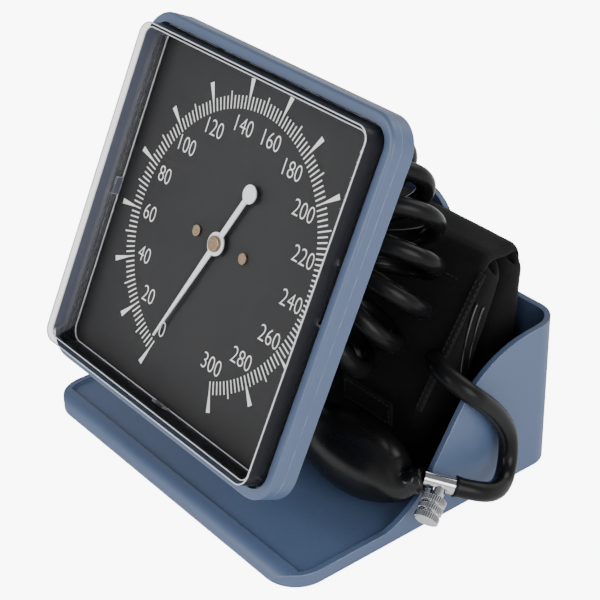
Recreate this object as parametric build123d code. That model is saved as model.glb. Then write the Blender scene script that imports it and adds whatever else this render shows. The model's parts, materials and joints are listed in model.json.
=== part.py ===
"""Desk blood pressure gauge: a square dial head that tilts on a moulded stand, a base tray
with a pocket at the back, the folded cuff in that pocket, a bulb with its valve, and two hoses.

Millimetres. X points right, Y to the back and Z up. The origin is the middle of the base's
footprint, on the surface that it stands on.
"""
from build123d import *
from math import cos, pi, radians, sin, sqrt, tan
import os

os.makedirs("parts", exist_ok=True)

# Base tray
TRAY_WIDTH = 181.0
TRAY_DEPTH = 148.5
TRAY_WALL = 2.6
TRAY_FLOOR = 2.6
TRAY_FRONT_CORNER = 15.5
TRAY_REAR_CORNER = 12.0
TRAY_LIFT = 1.4
TRAY_FRONT_HEIGHT = 7.5
TRAY_FRONT_LAND = 8.25
TRAY_FRONT_ROUND = 5.5
TRAY_REAR_HEIGHT = 73.5
SHOULDER_HEIGHT = 70.3
SHOULDER_BACK = 44.85
SHOULDER_RADIUS = 50.0
RAMP_HEIGHT = 12.0
RAMP_BACK = 83.05
RAMP_RADIUS = 38.0
LOW_WALL_BACK = 98.0
LOW_WALL_RADIUS = 6.0
HUMP_X = 4.0
HUMP_RISE = 10.5
HUMP_RADIUS = 20.5
HUMP_FLARE = 9.0

# Rubber feet
FOOT_RADIUS = 7.0
FOOT_SEAT = 2.0
FOOT_INSET_X = 16.5
FOOT_INSET_Y = 16.25
FOOT_CHAMFER = 0.8

# Head placing
DIAL_HEIGHT = 109.5
DIAL_FORWARD = 35.75
HEAD_LEAN = 26.0
HOUSING_DROP = 0.8

# Hinge between head and stand
PIVOT_DROP = 20.0
PIVOT_BEHIND = 34.0
BOLT_RADIUS = 2.5
HINGE_CLEARANCE = 0.08
LUG_HALF = 5.0
LUG_RADIUS = 7.0
EAR_RADIUS = 8.0
EAR_THICK = 5.0
WASHER_THICK = 0.5
WASHER_GAP = 0.05
BOLT_HEAD_RADIUS = 5.0
BOLT_HEAD_HEIGHT = 4.0
BOLT_SLOT_DEPTH = 1.0
BOLT_SLOT_HALF = 0.6
NUT_FLAT_RADIUS = 4.4
BOLT_END = 1.2
THREAD_CLEARANCE = 0.1

# Stand
COLUMN_HALF_WIDTH = 11.0
COLUMN_DEPTH = 18.0
COLUMN_WALL = 2.4
COLUMN_CORNER = 3.0
SADDLE_DROP = 10.6
STAND_PLATE_HALF = 21.0
STAND_PLATE_MARGIN = 8.0
STAND_PLATE_THICK = 3.0
STAND_PLATE_CORNER = 4.0
BOSS_RADIUS = 3.5
BOSS_HEIGHT = 8.0
BOSS_X = 15.0
BOSS_INSET = 5.5
STAND_SCREW_RADIUS = 1.5
STAND_SCREW_HEAD = 3.0
STAND_SCREW_HEAD_HEIGHT = 1.5
STAND_SCREW_REACH = 6.5

# Head housing, in the head's own frame: z is out of the dial, 0 on the dial's face
HOUSING_HALF = 80.3
HOUSING_CORNER = 14.0
PAN_BACK = -4.0
PAN_FLOOR = 2.2
PAN_RIM = 2.5
PAN_WALL = 3.8
BEZEL_FRONT = 7.66
BEZEL_LIP = 2.0
BEZEL_WALL = 2.1
BEZEL_FACE_WIDTH = 4.7
BEZEL_ROUND = 1.5
DRUM_RADIUS = 45.0
DRUM_DEPTH = 20.0
DRUM_WALL = 2.2
DRUM_BACK = 2.5
DRUM_ROUND = 1.5

# Clear cover
COVER_SIDE_GAP = 0.4
COVER_TAPER = 1.3
COVER_CORNER = 8.0
COVER_TOP_CORNER = 6.0
COVER_WALL = 2.0
COVER_START = 0.3
COVER_TOP = 16.2
COVER_ROUND = 1.0
COVER_FLANGE_GAP = 0.2
COVER_FLANGE_THICK = 3.0

# Dial
DIAL_GAP = 1.5
DIAL_CORNER = 8.0
DIAL_THICK = 0.8
DIAL_PAD_INSET = 9.0
DIAL_PAD_RADIUS = 4.0
DIAL_SCREW_AT = 16.0
DIAL_SCREW_RADIUS = 1.0
DIAL_SCREW_HEAD = 2.4
DIAL_SCREW_HEAD_HEIGHT = 1.1
DIAL_SPACER_RADIUS = 2.2
DIAL_HOLE_RADIUS = 1.5
ZERO_ANGLE = 248.84

# Movement
PLATE_HALF_WIDTH = 19.0
PLATE_LOW = 21.0
PLATE_HIGH = 35.0
PLATE_THICK = 0.8
UPPER_PLATE_FRONT = -3.8
PILLAR_HEIGHT = 9.2
PILLAR_RADIUS = 2.0
LOWER_PILLAR_X = 16.0
LOWER_PILLAR_Y = -17.0
UPPER_PILLAR_X = 15.0
UPPER_PILLAR_Y = 31.0
REAR_SCREW_RADIUS = 1.3
REAR_SCREW_HEAD = 2.75
REAR_SCREW_HEAD_HEIGHT = 1.8
REAR_SCREW_REACH = 4.5
PLATE_SCREW_RADIUS = 1.0
PLATE_SCREW_HEAD = 2.4
PLATE_SCREW_HEAD_HEIGHT = 1.2
PLATE_SCREW_REACH = 3.2
SCREW_GAP = 0.1
SHAFT_RADIUS = 0.8
SHAFT_CLEARANCE = 0.06
BRIDGE_HALF_LENGTH = 14.0
BRIDGE_HALF_WIDTH = 3.0
BRIDGE_THICK = 0.8
BRIDGE_RISE = 3.9
BRIDGE_FOOT_X = 12.5
BRIDGE_FOOT_RADIUS = 1.4
GEAR_MODULE = 0.5
GEAR_ADDENDUM = 0.45
GEAR_DEDENDUM = 0.6
TOOTH_ROOT = 0.8
TOOTH_TIP = 0.34
PINION_TEETH = 16
PINION_WIDTH = 2.0
PINION_ABOVE_BRIDGE = 0.5
PINION_COLLAR = 2.0
SECTOR_RING_TEETH = 80
SECTOR_TEETH = 21
SECTOR_THICK = 1.0
SECTOR_LIFT = 0.5
SECTOR_SWING = 63.5
SECTOR_RIM = 3.4
SECTOR_HUB_RADIUS = 3.0
SECTOR_HUB_HEIGHT = 2.6
SECTOR_ARBOR = 1.2
COLLET_RADIUS = 2.4
COLLET_HEIGHT = 0.9
COLLET_BELOW_PLATE = 0.8
SPRING_START = 3.0
SPRING_STEP = 0.75
SPRING_TURNS = 4
SPRING_STRIP = 0.22
SPRING_HEIGHT = 0.5
SPRING_BELOW_PLATE = 1.0
STUD_RADIUS = 0.8
STUD_LENGTH = 1.6
ROCKER_Y = 13.0
ROCKER_RISE = 1.4
ROCKER_LUG_X = 13.0
ROCKER_LUG_WIDTH = 2.0
ROCKER_LUG_DEPTH = 3.0
ROCKER_ARM_WIDTH = 4.0
ROCKER_ARM_THICK = 1.0
ROCKER_ARM_OVER = 2.0
ROCKER_FINGER_X = 8.0
ROCKER_FINGER_WIDTH = 2.0
ROCKER_FINGER_DEPTH = 1.6
ROCKER_FINGER_RISE = 3.9
POST_RADIUS = 2.5
POST_GAP = 0.3
POST_HOLE_RADIUS = 4.0
CAPSULE_RADIUS = 20.0
CAPSULE_HEIGHT = 4.7
CAPSULE_SHEET = 0.5
CAPSULE_BELOW_PLATE = 0.4
CAPSULE_RIPPLES = 3
CAPSULE_RIPPLE = 0.35
CAPSULE_RIM = 1.4
SOCKET_BORE = 1.5
SOCKET_STEM = 4.8
SOCKET_FLANGE = 10.0
SOCKET_HOLE_GAP = 0.2
SOCKET_NUT_RADIUS = 7.0
SOCKET_NUT_HEIGHT = 2.5
SOCKET_BARB_RADIUS = 2.6
SOCKET_BARB_RIDGE = 3.2
SOCKET_BARBS = 3
SOCKET_BARB_STEP = 3.0
SOCKET_BARB_NECK = 2.5

# Pointer
POINTER_REACH = 53.0
POINTER_ROOT_HALF = 1.5
POINTER_TIP_HALF = 0.45
POINTER_BACK = 2.4
POINTER_THICK = 0.6
POINTER_HUB_RADIUS = 5.0
POINTER_TAIL_AT = 27.3
POINTER_TAIL_RADIUS = 4.0
POINTER_TAIL_HALF = 1.3
CAP_RADIUS = 3.4
CAP_HEIGHT = 1.5
CAP_ROUND = 0.5
SHAFT_INTO_CAP = 0.4

# Bulb and its two valves. The bulb keeps its distance from the tray's right side, but never
# comes nearer to the stand than the least X. Points from the bulb count X from its middle.
BULB_FROM_SIDE = 35.3
BULB_LEAST_X = 55.2
BULB_Y = -10.65
BULB_RADIUS = 16.5
BULB_HALF_LENGTH = 32.5
BULB_REST_GAP = 0.3
BULB_SIDE_AT = 24.0
BULB_SIDE_RADIUS = 11.13
BULB_END_AT = 30.0
BULB_END_RADIUS = 6.35
BULB_NECK_RADIUS = 5.2
NECK_START_FROM_BULB = (29.3, -11.0, 23.4)
NECK_END_FROM_BULB = (37.0, -5.2, 27.3)
INLET_TIP_RADIUS = 3.2
INLET_BODY_RADIUS = 5.0
INLET_PLUG_RADIUS = 4.0
INLET_TIP = 3.0
INLET_BODY = 5.5
INLET_PLUG = 5.0
INLET_STANDS_OFF = 0.7
INLET_BORE = 1.5
VALVE_START_FROM_BULB = (37.8, -2.95, 26.6)
VALVE_END_FROM_BULB = (45.0, 4.6, 23.6)
VALVE_RADIUS = 3.8
VALVE_INTO_NECK = 2.4
VALVE_FIT = 0.05
KNOB_AXIS = (0.33, -0.80, -0.50)
KNOB_RADIUS = 5.3
KNOB_START = 7.2
KNOB_LENGTH = 10.8
KNOB_GROOVES = 20
KNOB_GROOVE_RADIUS = 0.5
KNOB_GROOVE_MARGIN = 1.5
VALVE_NECK_RADIUS = 3.0
VALVE_NECK_END = 6.5
NEEDLE_RADIUS = 1.2
NEEDLE_CLEARANCE = 0.08
NEEDLE_TIP = 2.4
NEEDLE_TIP_RADIUS = 0.375
NEEDLE_CONE = 1.6
NEEDLE_END = 10.0
VALVE_BORE_BOTTOM = 2.1

# Hoses
COIL_TUBE_RADIUS = 4.15
COIL_RADIUS = 17.8
COIL_FIRST_TURN = -6
COIL_LAST_TURN = 6.5
STATIONS_PER_TURN = 4
TANGENT_STEP = 0.001
BULB_TUBE_RADIUS = 4.25
CORNER_SHARE = 0.45
CUFF_FACE_POINT = (0.0, 24.25, 57.0)
CUFF_FACE_NORMAL = (0.0, -0.835, 0.55)

# One row for each turn: a point on the coil's axis, and the direction that the coil runs there
COIL_AXIS = [
    ((-57.5, 32.7, 125.5), (1.0, 0.0, 0.04)),
    ((-44.5, 32.7, 127.0), (1.0, 0.0, 0.03)),
    ((-31.5, 32.7, 128.5), (1.0, 0.0, 0.01)),
    ((-18.0, 32.7, 129.5), (1.0, -0.01, -0.07)),
    ((-4.2, 33.0, 129.9), (0.96, -0.07, -0.22)),
    ((9.6, 32.5, 128.5), (0.87, -0.18, -0.42)),
    ((22.5, 31.0, 124.0), (0.72, -0.31, -0.60)),
    ((33.2, 28.2, 115.5), (0.54, -0.41, -0.72)),
    ((40.5, 24.7, 103.7), (0.30, -0.48, -0.82)),
    ((43.0, 19.2, 91.0), (0.02, -0.52, -0.85)),
    ((40.5, 11.9, 79.0), (-0.26, -0.54, -0.80)),
    ((34.0, 4.7, 68.5), (-0.50, -0.53, -0.69)),
    ((24.5, -1.8, 60.0), (-0.72, -0.47, -0.52)),
    ((12.5, -6.8, 54.5), (-0.87, -0.38, -0.30)),
]
# The hose from the gauge's barb round to the coil, and from the coil to its connector
UPPER_TAIL = [(-24.0, 22.2, 82.0), (-46.0, 20.2, 90.0)]
UPPER_TAIL_START = 20.0
UPPER_TAIL_END = 18.0
LOWER_TAIL_START = 12.0
LOWER_TAIL_END = 12.0
CONNECTOR_FACE = (-18.0, 15.9, 57.4)
CONNECTOR_HALF = 8.0
CONNECTOR_RADIUS = 4.6
CONNECTOR_RING_RADIUS = 5.4
CONNECTOR_RING_LENGTH = 2.5
CUFF_TUBE_STRAIGHT = 12.0
CUFF_TUBE_END = (-58.0, 24.75, 51.4)
BULB_TUBE_STRAIGHT = 9.0
BULB_TUBE_FROM_BULB = [
    (51.3, 22.0, 15.5), (45.8, 33.0, 13.5), (41.3, 39.5, 20.5), (40.8, 39.5, 31.5),
    (41.0, 33.5, 42.5), (41.0, 26.0, 52.0), (40.4, 17.0, 61.0),
]
BULB_TUBE_INTO_CUFF = [(86.0, 12.8, 66.5), (75.0, 16.0, 66.0), (62.1, 28.0, 57.4)]
TUBE_HOLE_GAP = 0.15
TUBE_HOLE_DEPTH = 12.0

# Folded cuff
CUFF_LEFT = -70.0
CUFF_RIGHT = 73.0
CUFF_FOLD_START = 65.0
CUFF_GAP = 0.4
CUFF_BOTTOM_GAP = 0.3
CUFF_KINK_HEIGHT = 38.0
CUFF_TOP = 98.0
CUFF_BOTTOM_FRONTS = (13.25, 27.3, 41.5, 55.8, 71.3)
CUFF_KINK_FRONTS = (13.25, 28.0, 42.0, 56.2, 71.3)
CUFF_TOP_FRONTS = (51.25, 56.0, 61.0, 66.0, 71.3)
CUFF_TOPS = (98.0, 99.5, 97.5, 100.0)
CUFF_KINK_RADIUS = 14.0
CUFF_TOP_ROUND = 2.0
CUFF_FOLD_ROUND = 3.5
CUFF_END_TOLERANCE = 0.01
BLADDER_LEFT = -40.0
BLADDER_RIGHT = 40.0
BLADDER_LOW = -14.0
BLADDER_HIGH = 36.0
BLADDER_DEPTH = 3.6
BLADDER_THICK = 2.6
BLADDER_GAP = 0.3
BLADDER_MOUTH = 40.0
BINDING_LEFT = 66.5
BINDING_WIDTH = 4.0
BINDING_THICK = 0.9
BINDING_LOW = -20.0
BINDING_HIGH = 44.0
FLAP_LEFT = 22.0
FLAP_RIGHT = 54.0
FLAP_LOW = 25.0
FLAP_HIGH = 37.0
FLAP_THICK = 1.6
FLAP_MARGIN = 2.0
PATCH_THICK = 0.6

# Levels and places that follow from the sizes above
HALF_WIDTH = TRAY_WIDTH / 2
HALF_DEPTH = TRAY_DEPTH / 2
FLOOR_BOTTOM = TRAY_LIFT + FOOT_SEAT
FLOOR_TOP = FLOOR_BOTTOM + TRAY_FLOOR
REAR_WALL_Y = HALF_DEPTH - TRAY_WALL
LEAN = radians(HEAD_LEAN)
HEAD = Plane(
    origin=(0, -DIAL_FORWARD, DIAL_HEIGHT),
    x_dir=(1, 0, 0),
    z_dir=(0, -cos(LEAN), sin(LEAN)),
)
PIVOT = HEAD.from_local_coords((0, -PIVOT_DROP, -PIVOT_BEHIND))
BEZEL_OPENING_HALF = HOUSING_HALF - BEZEL_FACE_WIDTH
COVER_FOOT_HALF = BEZEL_OPENING_HALF - COVER_SIDE_GAP
COVER_TOP_HALF = COVER_FOOT_HALF - COVER_TAPER
DIAL_HALF = HOUSING_HALF - PAN_WALL - DIAL_GAP
DIAL_PAD_AT = DIAL_HALF - DIAL_PAD_INSET
EAR_INNER = LUG_HALF + WASHER_THICK + 2 * WASHER_GAP
EAR_OUTER = EAR_INNER + EAR_THICK
DRUM_REAR = PAN_BACK - DRUM_DEPTH
DRUM_INSIDE = DRUM_REAR + DRUM_BACK
UPPER_PLATE_BACK = UPPER_PLATE_FRONT - PLATE_THICK
LOWER_PLATE_FRONT = UPPER_PLATE_BACK - PILLAR_HEIGHT
LOWER_PLATE_BACK = LOWER_PLATE_FRONT - PLATE_THICK
CAPSULE_FRONT = LOWER_PLATE_BACK - CAPSULE_BELOW_PLATE
CAPSULE_BACK = CAPSULE_FRONT - CAPSULE_HEIGHT
BRIDGE_BACK = LOWER_PLATE_FRONT + BRIDGE_RISE
BRIDGE_FRONT = BRIDGE_BACK + BRIDGE_THICK
PINION_RADIUS = GEAR_MODULE * PINION_TEETH / 2
SECTOR_RADIUS = GEAR_MODULE * SECTOR_RING_TEETH / 2
SECTOR_Y = PINION_RADIUS + SECTOR_RADIUS
PINION_BACK = BRIDGE_FRONT + PINION_ABOVE_BRIDGE
SECTOR_BACK = PINION_BACK + SECTOR_LIFT
ROCKER_Z = LOWER_PLATE_FRONT + ROCKER_RISE
SOCKET_BACK = DRUM_REAR - SOCKET_NUT_HEIGHT
BARB_LENGTH = SOCKET_BARB_NECK + SOCKET_BARBS * SOCKET_BARB_STEP
HOSE_START = SOCKET_BACK - BARB_LENGTH
PILLARS = [
    (LOWER_PILLAR_X, LOWER_PILLAR_Y),
    (-LOWER_PILLAR_X, LOWER_PILLAR_Y),
    (UPPER_PILLAR_X, UPPER_PILLAR_Y),
    (-UPPER_PILLAR_X, UPPER_PILLAR_Y),
]
BULB_X = max(HALF_WIDTH - BULB_FROM_SIDE, BULB_LEAST_X)
BULB_Z = FLOOR_TOP + BULB_REST_GAP + BULB_RADIUS
BULB_SHIFT = Vector(BULB_X, 0, 0)
BULB_NECK_START = BULB_SHIFT + Vector(NECK_START_FROM_BULB)
BULB_NECK_END = BULB_SHIFT + Vector(NECK_END_FROM_BULB)
VALVE_START = BULB_SHIFT + Vector(VALVE_START_FROM_BULB)
VALVE_END = BULB_SHIFT + Vector(VALVE_END_FROM_BULB)
CUFF_BOTTOM = FLOOR_TOP + CUFF_BOTTOM_GAP
CUFF_FACE = Plane(origin=CUFF_FACE_POINT, x_dir=(1, 0, 0), z_dir=CUFF_FACE_NORMAL)


def disc(radius, low, high, x=0.0, y=0.0):
    """Round bar along z between two levels."""
    return Pos(x, y, (low + high) / 2) * Cylinder(radius, high - low)


def block(x0, x1, y0, y1, z0, z1):
    """Box between two corners."""
    return Pos((x0 + x1) / 2, (y0 + y1) / 2, (z0 + z1) / 2) * Box(x1 - x0, y1 - y0, z1 - z0)


def square(half, corner, low, high):
    """Square slab with round corners, centred on the housing."""
    face = Pos(0, -HOUSING_DROP, low) * RectangleRounded(2 * half, 2 * half, corner)
    return extrude(face, high - low)


def rod(start, end, radius):
    """Round bar between two points."""
    start = Vector(start)
    run = Vector(end) - start
    return extrude(Plane(origin=start, z_dir=run) * Circle(radius), run.length)


def on_head(shape):
    """Put a shape that was made in the head's own frame in its place."""
    return shape.moved(HEAD.location)


def side_prism(points, radii, x0, x1):
    """Closed outline in Y and Z with rounded corners, carried from x0 to x1."""
    outline = FilletPolyline(*points, radius=radii, close=True)
    return extrude(Plane.YZ.offset(x0) * make_face(outline), x1 - x0)


def save(name, shape):
    """Write one piece to its own file."""
    export_step(shape, f"parts/{name}.step")


# Base


def tray_plan(inset, front_corner, rear_corner, low, high):
    """Rounded rectangle of the tray, drawn in by an inset, between two levels."""
    plan = Rectangle(TRAY_WIDTH - 2 * inset, TRAY_DEPTH - 2 * inset)
    rows = plan.vertices().group_by(Axis.Y)
    plan = fillet(rows[0], front_corner)
    plan = fillet(plan.vertices().filter_by(lambda v: v.Y > TRAY_DEPTH / 4), rear_corner)
    return extrude(Pos(0, 0, low) * plan, high - low)


def tray_side():
    """Side outline of the tray, carried across its width."""
    points = [
        (-HALF_DEPTH, TRAY_LIFT),
        (-HALF_DEPTH, TRAY_FRONT_HEIGHT),
        (HALF_DEPTH - LOW_WALL_BACK, TRAY_FRONT_HEIGHT),
        (HALF_DEPTH - RAMP_BACK, RAMP_HEIGHT),
        (HALF_DEPTH - SHOULDER_BACK, SHOULDER_HEIGHT),
        (HALF_DEPTH, TRAY_REAR_HEIGHT),
        (HALF_DEPTH, TRAY_LIFT),
    ]
    radii = [0, TRAY_FRONT_ROUND, LOW_WALL_RADIUS, RAMP_RADIUS, SHOULDER_RADIUS, 0, 0]
    return side_prism(points, radii, -HALF_WIDTH, HALF_WIDTH)


def hump():
    """Raised middle of the rear wall, flared into the wall's top."""
    centre_z = TRAY_REAR_HEIGHT + HUMP_RISE
    flare_z = TRAY_REAR_HEIGHT + HUMP_FLARE
    left = HUMP_X - HUMP_RADIUS
    right = HUMP_X + HUMP_RADIUS
    below = TRAY_REAR_HEIGHT - TRAY_WALL
    bend = HUMP_FLARE * (1 - sqrt(0.5))
    outline = [
        Line((left - HUMP_FLARE, below), (left - HUMP_FLARE, TRAY_REAR_HEIGHT)),
        ThreePointArc(
            (left - HUMP_FLARE, TRAY_REAR_HEIGHT),
            (left - bend, TRAY_REAR_HEIGHT + bend),
            (left, flare_z),
        ),
        Line((left, flare_z), (left, centre_z)),
        ThreePointArc((left, centre_z), (HUMP_X, centre_z + HUMP_RADIUS), (right, centre_z)),
        Line((right, centre_z), (right, flare_z)),
        ThreePointArc(
            (right, flare_z),
            (right + bend, TRAY_REAR_HEIGHT + bend),
            (right + HUMP_FLARE, TRAY_REAR_HEIGHT),
        ),
        Line((right + HUMP_FLARE, TRAY_REAR_HEIGHT), (right + HUMP_FLARE, below)),
        Line((right + HUMP_FLARE, below), (left - HUMP_FLARE, below)),
    ]
    face = Plane.XZ.offset(-HALF_DEPTH) * make_face(outline)
    return extrude(face, TRAY_WALL)


def stand_screw_places():
    """Where the four screws come up through the floor into the stand."""
    front = PIVOT.Y - COLUMN_DEPTH / 2 - STAND_PLATE_MARGIN + BOSS_INSET
    back = PIVOT.Y + COLUMN_DEPTH / 2 + STAND_PLATE_MARGIN - BOSS_INSET
    return [(x, y) for x in (-BOSS_X, BOSS_X) for y in (front, back)]


def foot_places():
    """Centres of the feet: one in each corner and one in the middle, under the stand."""
    x = HALF_WIDTH - FOOT_INSET_X
    y = HALF_DEPTH - FOOT_INSET_Y
    corners = [(sx * x, sy * y) for sx in (-1, 1) for sy in (-1, 1)]
    return corners + [(0.0, 0.0)]


def base_tray():
    """Tray with its floor, walls, cuff pocket and hollow underside."""
    high = TRAY_REAR_HEIGHT + HUMP_RISE
    shell = tray_side() & tray_plan(0, TRAY_FRONT_CORNER, TRAY_REAR_CORNER, TRAY_LIFT, high)
    inner_front = TRAY_FRONT_CORNER - TRAY_WALL
    inner_rear = TRAY_REAR_CORNER - TRAY_WALL
    pocket = tray_plan(TRAY_WALL, inner_front, inner_rear, FLOOR_TOP, high)
    front_edge = -HALF_DEPTH + TRAY_FRONT_LAND
    pocket -= block(-HALF_WIDTH, HALF_WIDTH, -HALF_DEPTH, front_edge, FLOOR_BOTTOM, high)
    tray = shell - pocket
    tray -= tray_plan(TRAY_WALL, inner_front, inner_rear, TRAY_LIFT, FLOOR_BOTTOM)
    tray += hump()
    for x, y in stand_screw_places():
        tray -= disc(STAND_SCREW_RADIUS + SCREW_GAP, FLOOR_BOTTOM, FLOOR_TOP, x, y)
    return tray


def rubber_feet():
    """Five round feet, seated in the hollow under the floor."""
    feet = []
    for x, y in foot_places():
        foot = disc(FOOT_RADIUS, 0, FLOOR_BOTTOM, x, y)
        rim = foot.edges().group_by(Axis.Z)[0]
        feet.append(chamfer(rim, FOOT_CHAMFER))
    return Compound(children=feet)


def gauge_stand():
    """Hollow moulded column with a foot plate and two hinge ears."""
    y0 = PIVOT.Y - COLUMN_DEPTH / 2
    y1 = PIVOT.Y + COLUMN_DEPTH / 2
    saddle = PIVOT.Z - SADDLE_DROP
    plate_top = FLOOR_TOP + STAND_PLATE_THICK
    column = block(-COLUMN_HALF_WIDTH, COLUMN_HALF_WIDTH, y0, y1, FLOOR_TOP, saddle)
    column = fillet(column.edges().filter_by(Axis.Z), COLUMN_CORNER)
    plate = block(
        -STAND_PLATE_HALF, STAND_PLATE_HALF,
        y0 - STAND_PLATE_MARGIN, y1 + STAND_PLATE_MARGIN, FLOOR_TOP, plate_top,
    )
    plate = fillet(plate.edges().filter_by(Axis.Z), STAND_PLATE_CORNER)
    stand = column + plate
    for x, y in stand_screw_places():
        stand += disc(BOSS_RADIUS, FLOOR_TOP, FLOOR_TOP + BOSS_HEIGHT, x, y)
    ear_y0 = PIVOT.Y - EAR_RADIUS
    ear_y1 = PIVOT.Y + EAR_RADIUS
    for side in (-1, 1):
        x0, x1 = sorted((side * EAR_INNER, side * EAR_OUTER))
        ear = block(x0, x1, ear_y0, ear_y1, saddle - COLUMN_WALL, PIVOT.Z)
        ear += rod((x0, PIVOT.Y, PIVOT.Z), (x1, PIVOT.Y, PIVOT.Z), EAR_RADIUS)
        stand += ear
    inner = COLUMN_HALF_WIDTH - COLUMN_WALL
    stand -= block(
        -inner, inner, y0 + COLUMN_WALL, y1 - COLUMN_WALL, FLOOR_TOP, saddle - 2 * COLUMN_WALL,
    )
    for x, y in stand_screw_places():
        reach = FLOOR_TOP + STAND_SCREW_REACH
        stand -= disc(STAND_SCREW_RADIUS + SCREW_GAP, FLOOR_TOP, reach, x, y)
    bore = BOLT_RADIUS + HINGE_CLEARANCE
    stand -= rod((-EAR_OUTER, PIVOT.Y, PIVOT.Z), (EAR_OUTER, PIVOT.Y, PIVOT.Z), bore)
    return stand


def stand_screws():
    """Four screws that hold the stand down from under the floor."""
    screws = []
    for x, y in stand_screw_places():
        head = disc(STAND_SCREW_HEAD, FLOOR_BOTTOM - STAND_SCREW_HEAD_HEIGHT, FLOOR_BOTTOM, x, y)
        tip = FLOOR_TOP + STAND_SCREW_REACH - SCREW_GAP
        screws.append(head + disc(STAND_SCREW_RADIUS, FLOOR_BOTTOM, tip, x, y))
    return Compound(children=screws)


def hinge_bolt():
    """Bolt through both ears and the head's lug, with a slotted round head."""
    y, z = PIVOT.Y, PIVOT.Z
    nut_end = EAR_OUTER + BOLT_HEAD_HEIGHT + BOLT_END
    bolt = rod((-EAR_OUTER, y, z), (nut_end, y, z), BOLT_RADIUS)
    head_end = -EAR_OUTER - BOLT_HEAD_HEIGHT
    head = rod((head_end, y, z), (-EAR_OUTER, y, z), BOLT_HEAD_RADIUS)
    slot = block(
        head_end, head_end + BOLT_SLOT_DEPTH, y - BOLT_HEAD_RADIUS, y + BOLT_HEAD_RADIUS,
        z - BOLT_SLOT_HALF, z + BOLT_SLOT_HALF,
    )
    return bolt + (head - slot)


def hinge_nut():
    """Hexagon nut on the bolt's end."""
    plane = Plane(origin=(EAR_OUTER, PIVOT.Y, PIVOT.Z), x_dir=(0, 1, 0), z_dir=(1, 0, 0))
    hexagon = RegularPolygon(NUT_FLAT_RADIUS, 6, major_radius=False)
    face = plane * (hexagon - Circle(BOLT_RADIUS + THREAD_CLEARANCE))
    return extrude(face, BOLT_HEAD_HEIGHT)


def hinge_washers():
    """Two plain washers between the lug and the ears."""
    washers = []
    for side in (-1, 1):
        start = (side * (LUG_HALF + WASHER_GAP), PIVOT.Y, PIVOT.Z)
        end = (side * (LUG_HALF + WASHER_GAP + WASHER_THICK), PIVOT.Y, PIVOT.Z)
        hole = rod(start, end, BOLT_RADIUS + HINGE_CLEARANCE)
        washers.append(rod(start, end, LUG_RADIUS) - hole)
    return Compound(children=washers)


# Gauge head


def rear_case():
    """Shallow square pan with a round drum and a hinge lug behind it."""
    pan = square(HOUSING_HALF, HOUSING_CORNER, PAN_BACK, PAN_RIM)
    floor_front = PAN_BACK + PAN_FLOOR
    inner_half = HOUSING_HALF - PAN_WALL
    pan -= square(inner_half, HOUSING_CORNER - PAN_WALL, floor_front, PAN_RIM)
    drum = disc(DRUM_RADIUS, DRUM_REAR, PAN_BACK)
    drum = fillet(drum.edges().group_by(Axis.Z)[0], DRUM_ROUND)
    case = pan + drum
    case -= disc(DRUM_RADIUS - DRUM_WALL, DRUM_INSIDE, floor_front)
    case -= disc(SOCKET_STEM + SOCKET_HOLE_GAP, DRUM_REAR, DRUM_INSIDE)
    for x, y in PILLARS:
        case -= disc(REAR_SCREW_RADIUS + SCREW_GAP, DRUM_REAR, DRUM_INSIDE, x, y)
    for x in (-DIAL_PAD_AT, DIAL_PAD_AT):
        for y in (-DIAL_PAD_AT, DIAL_PAD_AT):
            case += disc(DIAL_PAD_RADIUS, floor_front, -DIAL_THICK, x, y)
    case = on_head(case)
    lug = block(
        -LUG_HALF, LUG_HALF, -PIVOT_DROP - LUG_RADIUS, -PIVOT_DROP + LUG_RADIUS,
        -PIVOT_BEHIND, DRUM_REAR,
    )
    case += on_head(lug)
    left = (-LUG_HALF, PIVOT.Y, PIVOT.Z)
    right = (LUG_HALF, PIVOT.Y, PIVOT.Z)
    case += rod(left, right, LUG_RADIUS)
    case -= rod(left, right, BOLT_RADIUS + HINGE_CLEARANCE)
    return case


def front_bezel():
    """Square front frame whose lip holds the cover's flange down."""
    bezel = square(HOUSING_HALF, HOUSING_CORNER, PAN_RIM, BEZEL_FRONT)
    bezel = fillet(bezel.edges().group_by(Axis.Z)[-1], BEZEL_ROUND)
    recess_half = HOUSING_HALF - BEZEL_WALL
    lip_back = BEZEL_FRONT - BEZEL_LIP
    bezel -= square(recess_half, HOUSING_CORNER - BEZEL_WALL, PAN_RIM, lip_back)
    opening_corner = COVER_CORNER + BEZEL_OPENING_HALF - COVER_FOOT_HALF
    bezel -= square(BEZEL_OPENING_HALF, opening_corner, lip_back, BEZEL_FRONT)
    return on_head(bezel)


def cover_loft(inset, low, high):
    """Tapered square column of the cover, drawn in by an inset."""
    def half_at(level):
        share = (level - COVER_START) / (COVER_TOP - COVER_START)
        return COVER_FOOT_HALF + share * (COVER_TOP_HALF - COVER_FOOT_HALF) - inset

    foot = 2 * half_at(low)
    top = 2 * half_at(high)
    low_face = Pos(0, -HOUSING_DROP, low) * RectangleRounded(foot, foot, COVER_CORNER - inset)
    high_face = Pos(0, -HOUSING_DROP, high) * RectangleRounded(top, top, COVER_TOP_CORNER - inset)
    return loft([low_face, high_face], ruled=True)


def clear_cover():
    """Raised clear window with a flange under the bezel's lip."""
    cover = cover_loft(0, COVER_START, COVER_TOP)
    cover = fillet(cover.edges().group_by(Axis.Z)[-1], COVER_ROUND)
    flange_half = HOUSING_HALF - BEZEL_WALL - COVER_FLANGE_GAP
    flange_corner = HOUSING_CORNER - BEZEL_WALL - COVER_FLANGE_GAP
    cover += square(flange_half, flange_corner, PAN_RIM, PAN_RIM + COVER_FLANGE_THICK)
    cover -= cover_loft(COVER_WALL, COVER_START, COVER_TOP - COVER_WALL)
    return on_head(cover)


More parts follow.
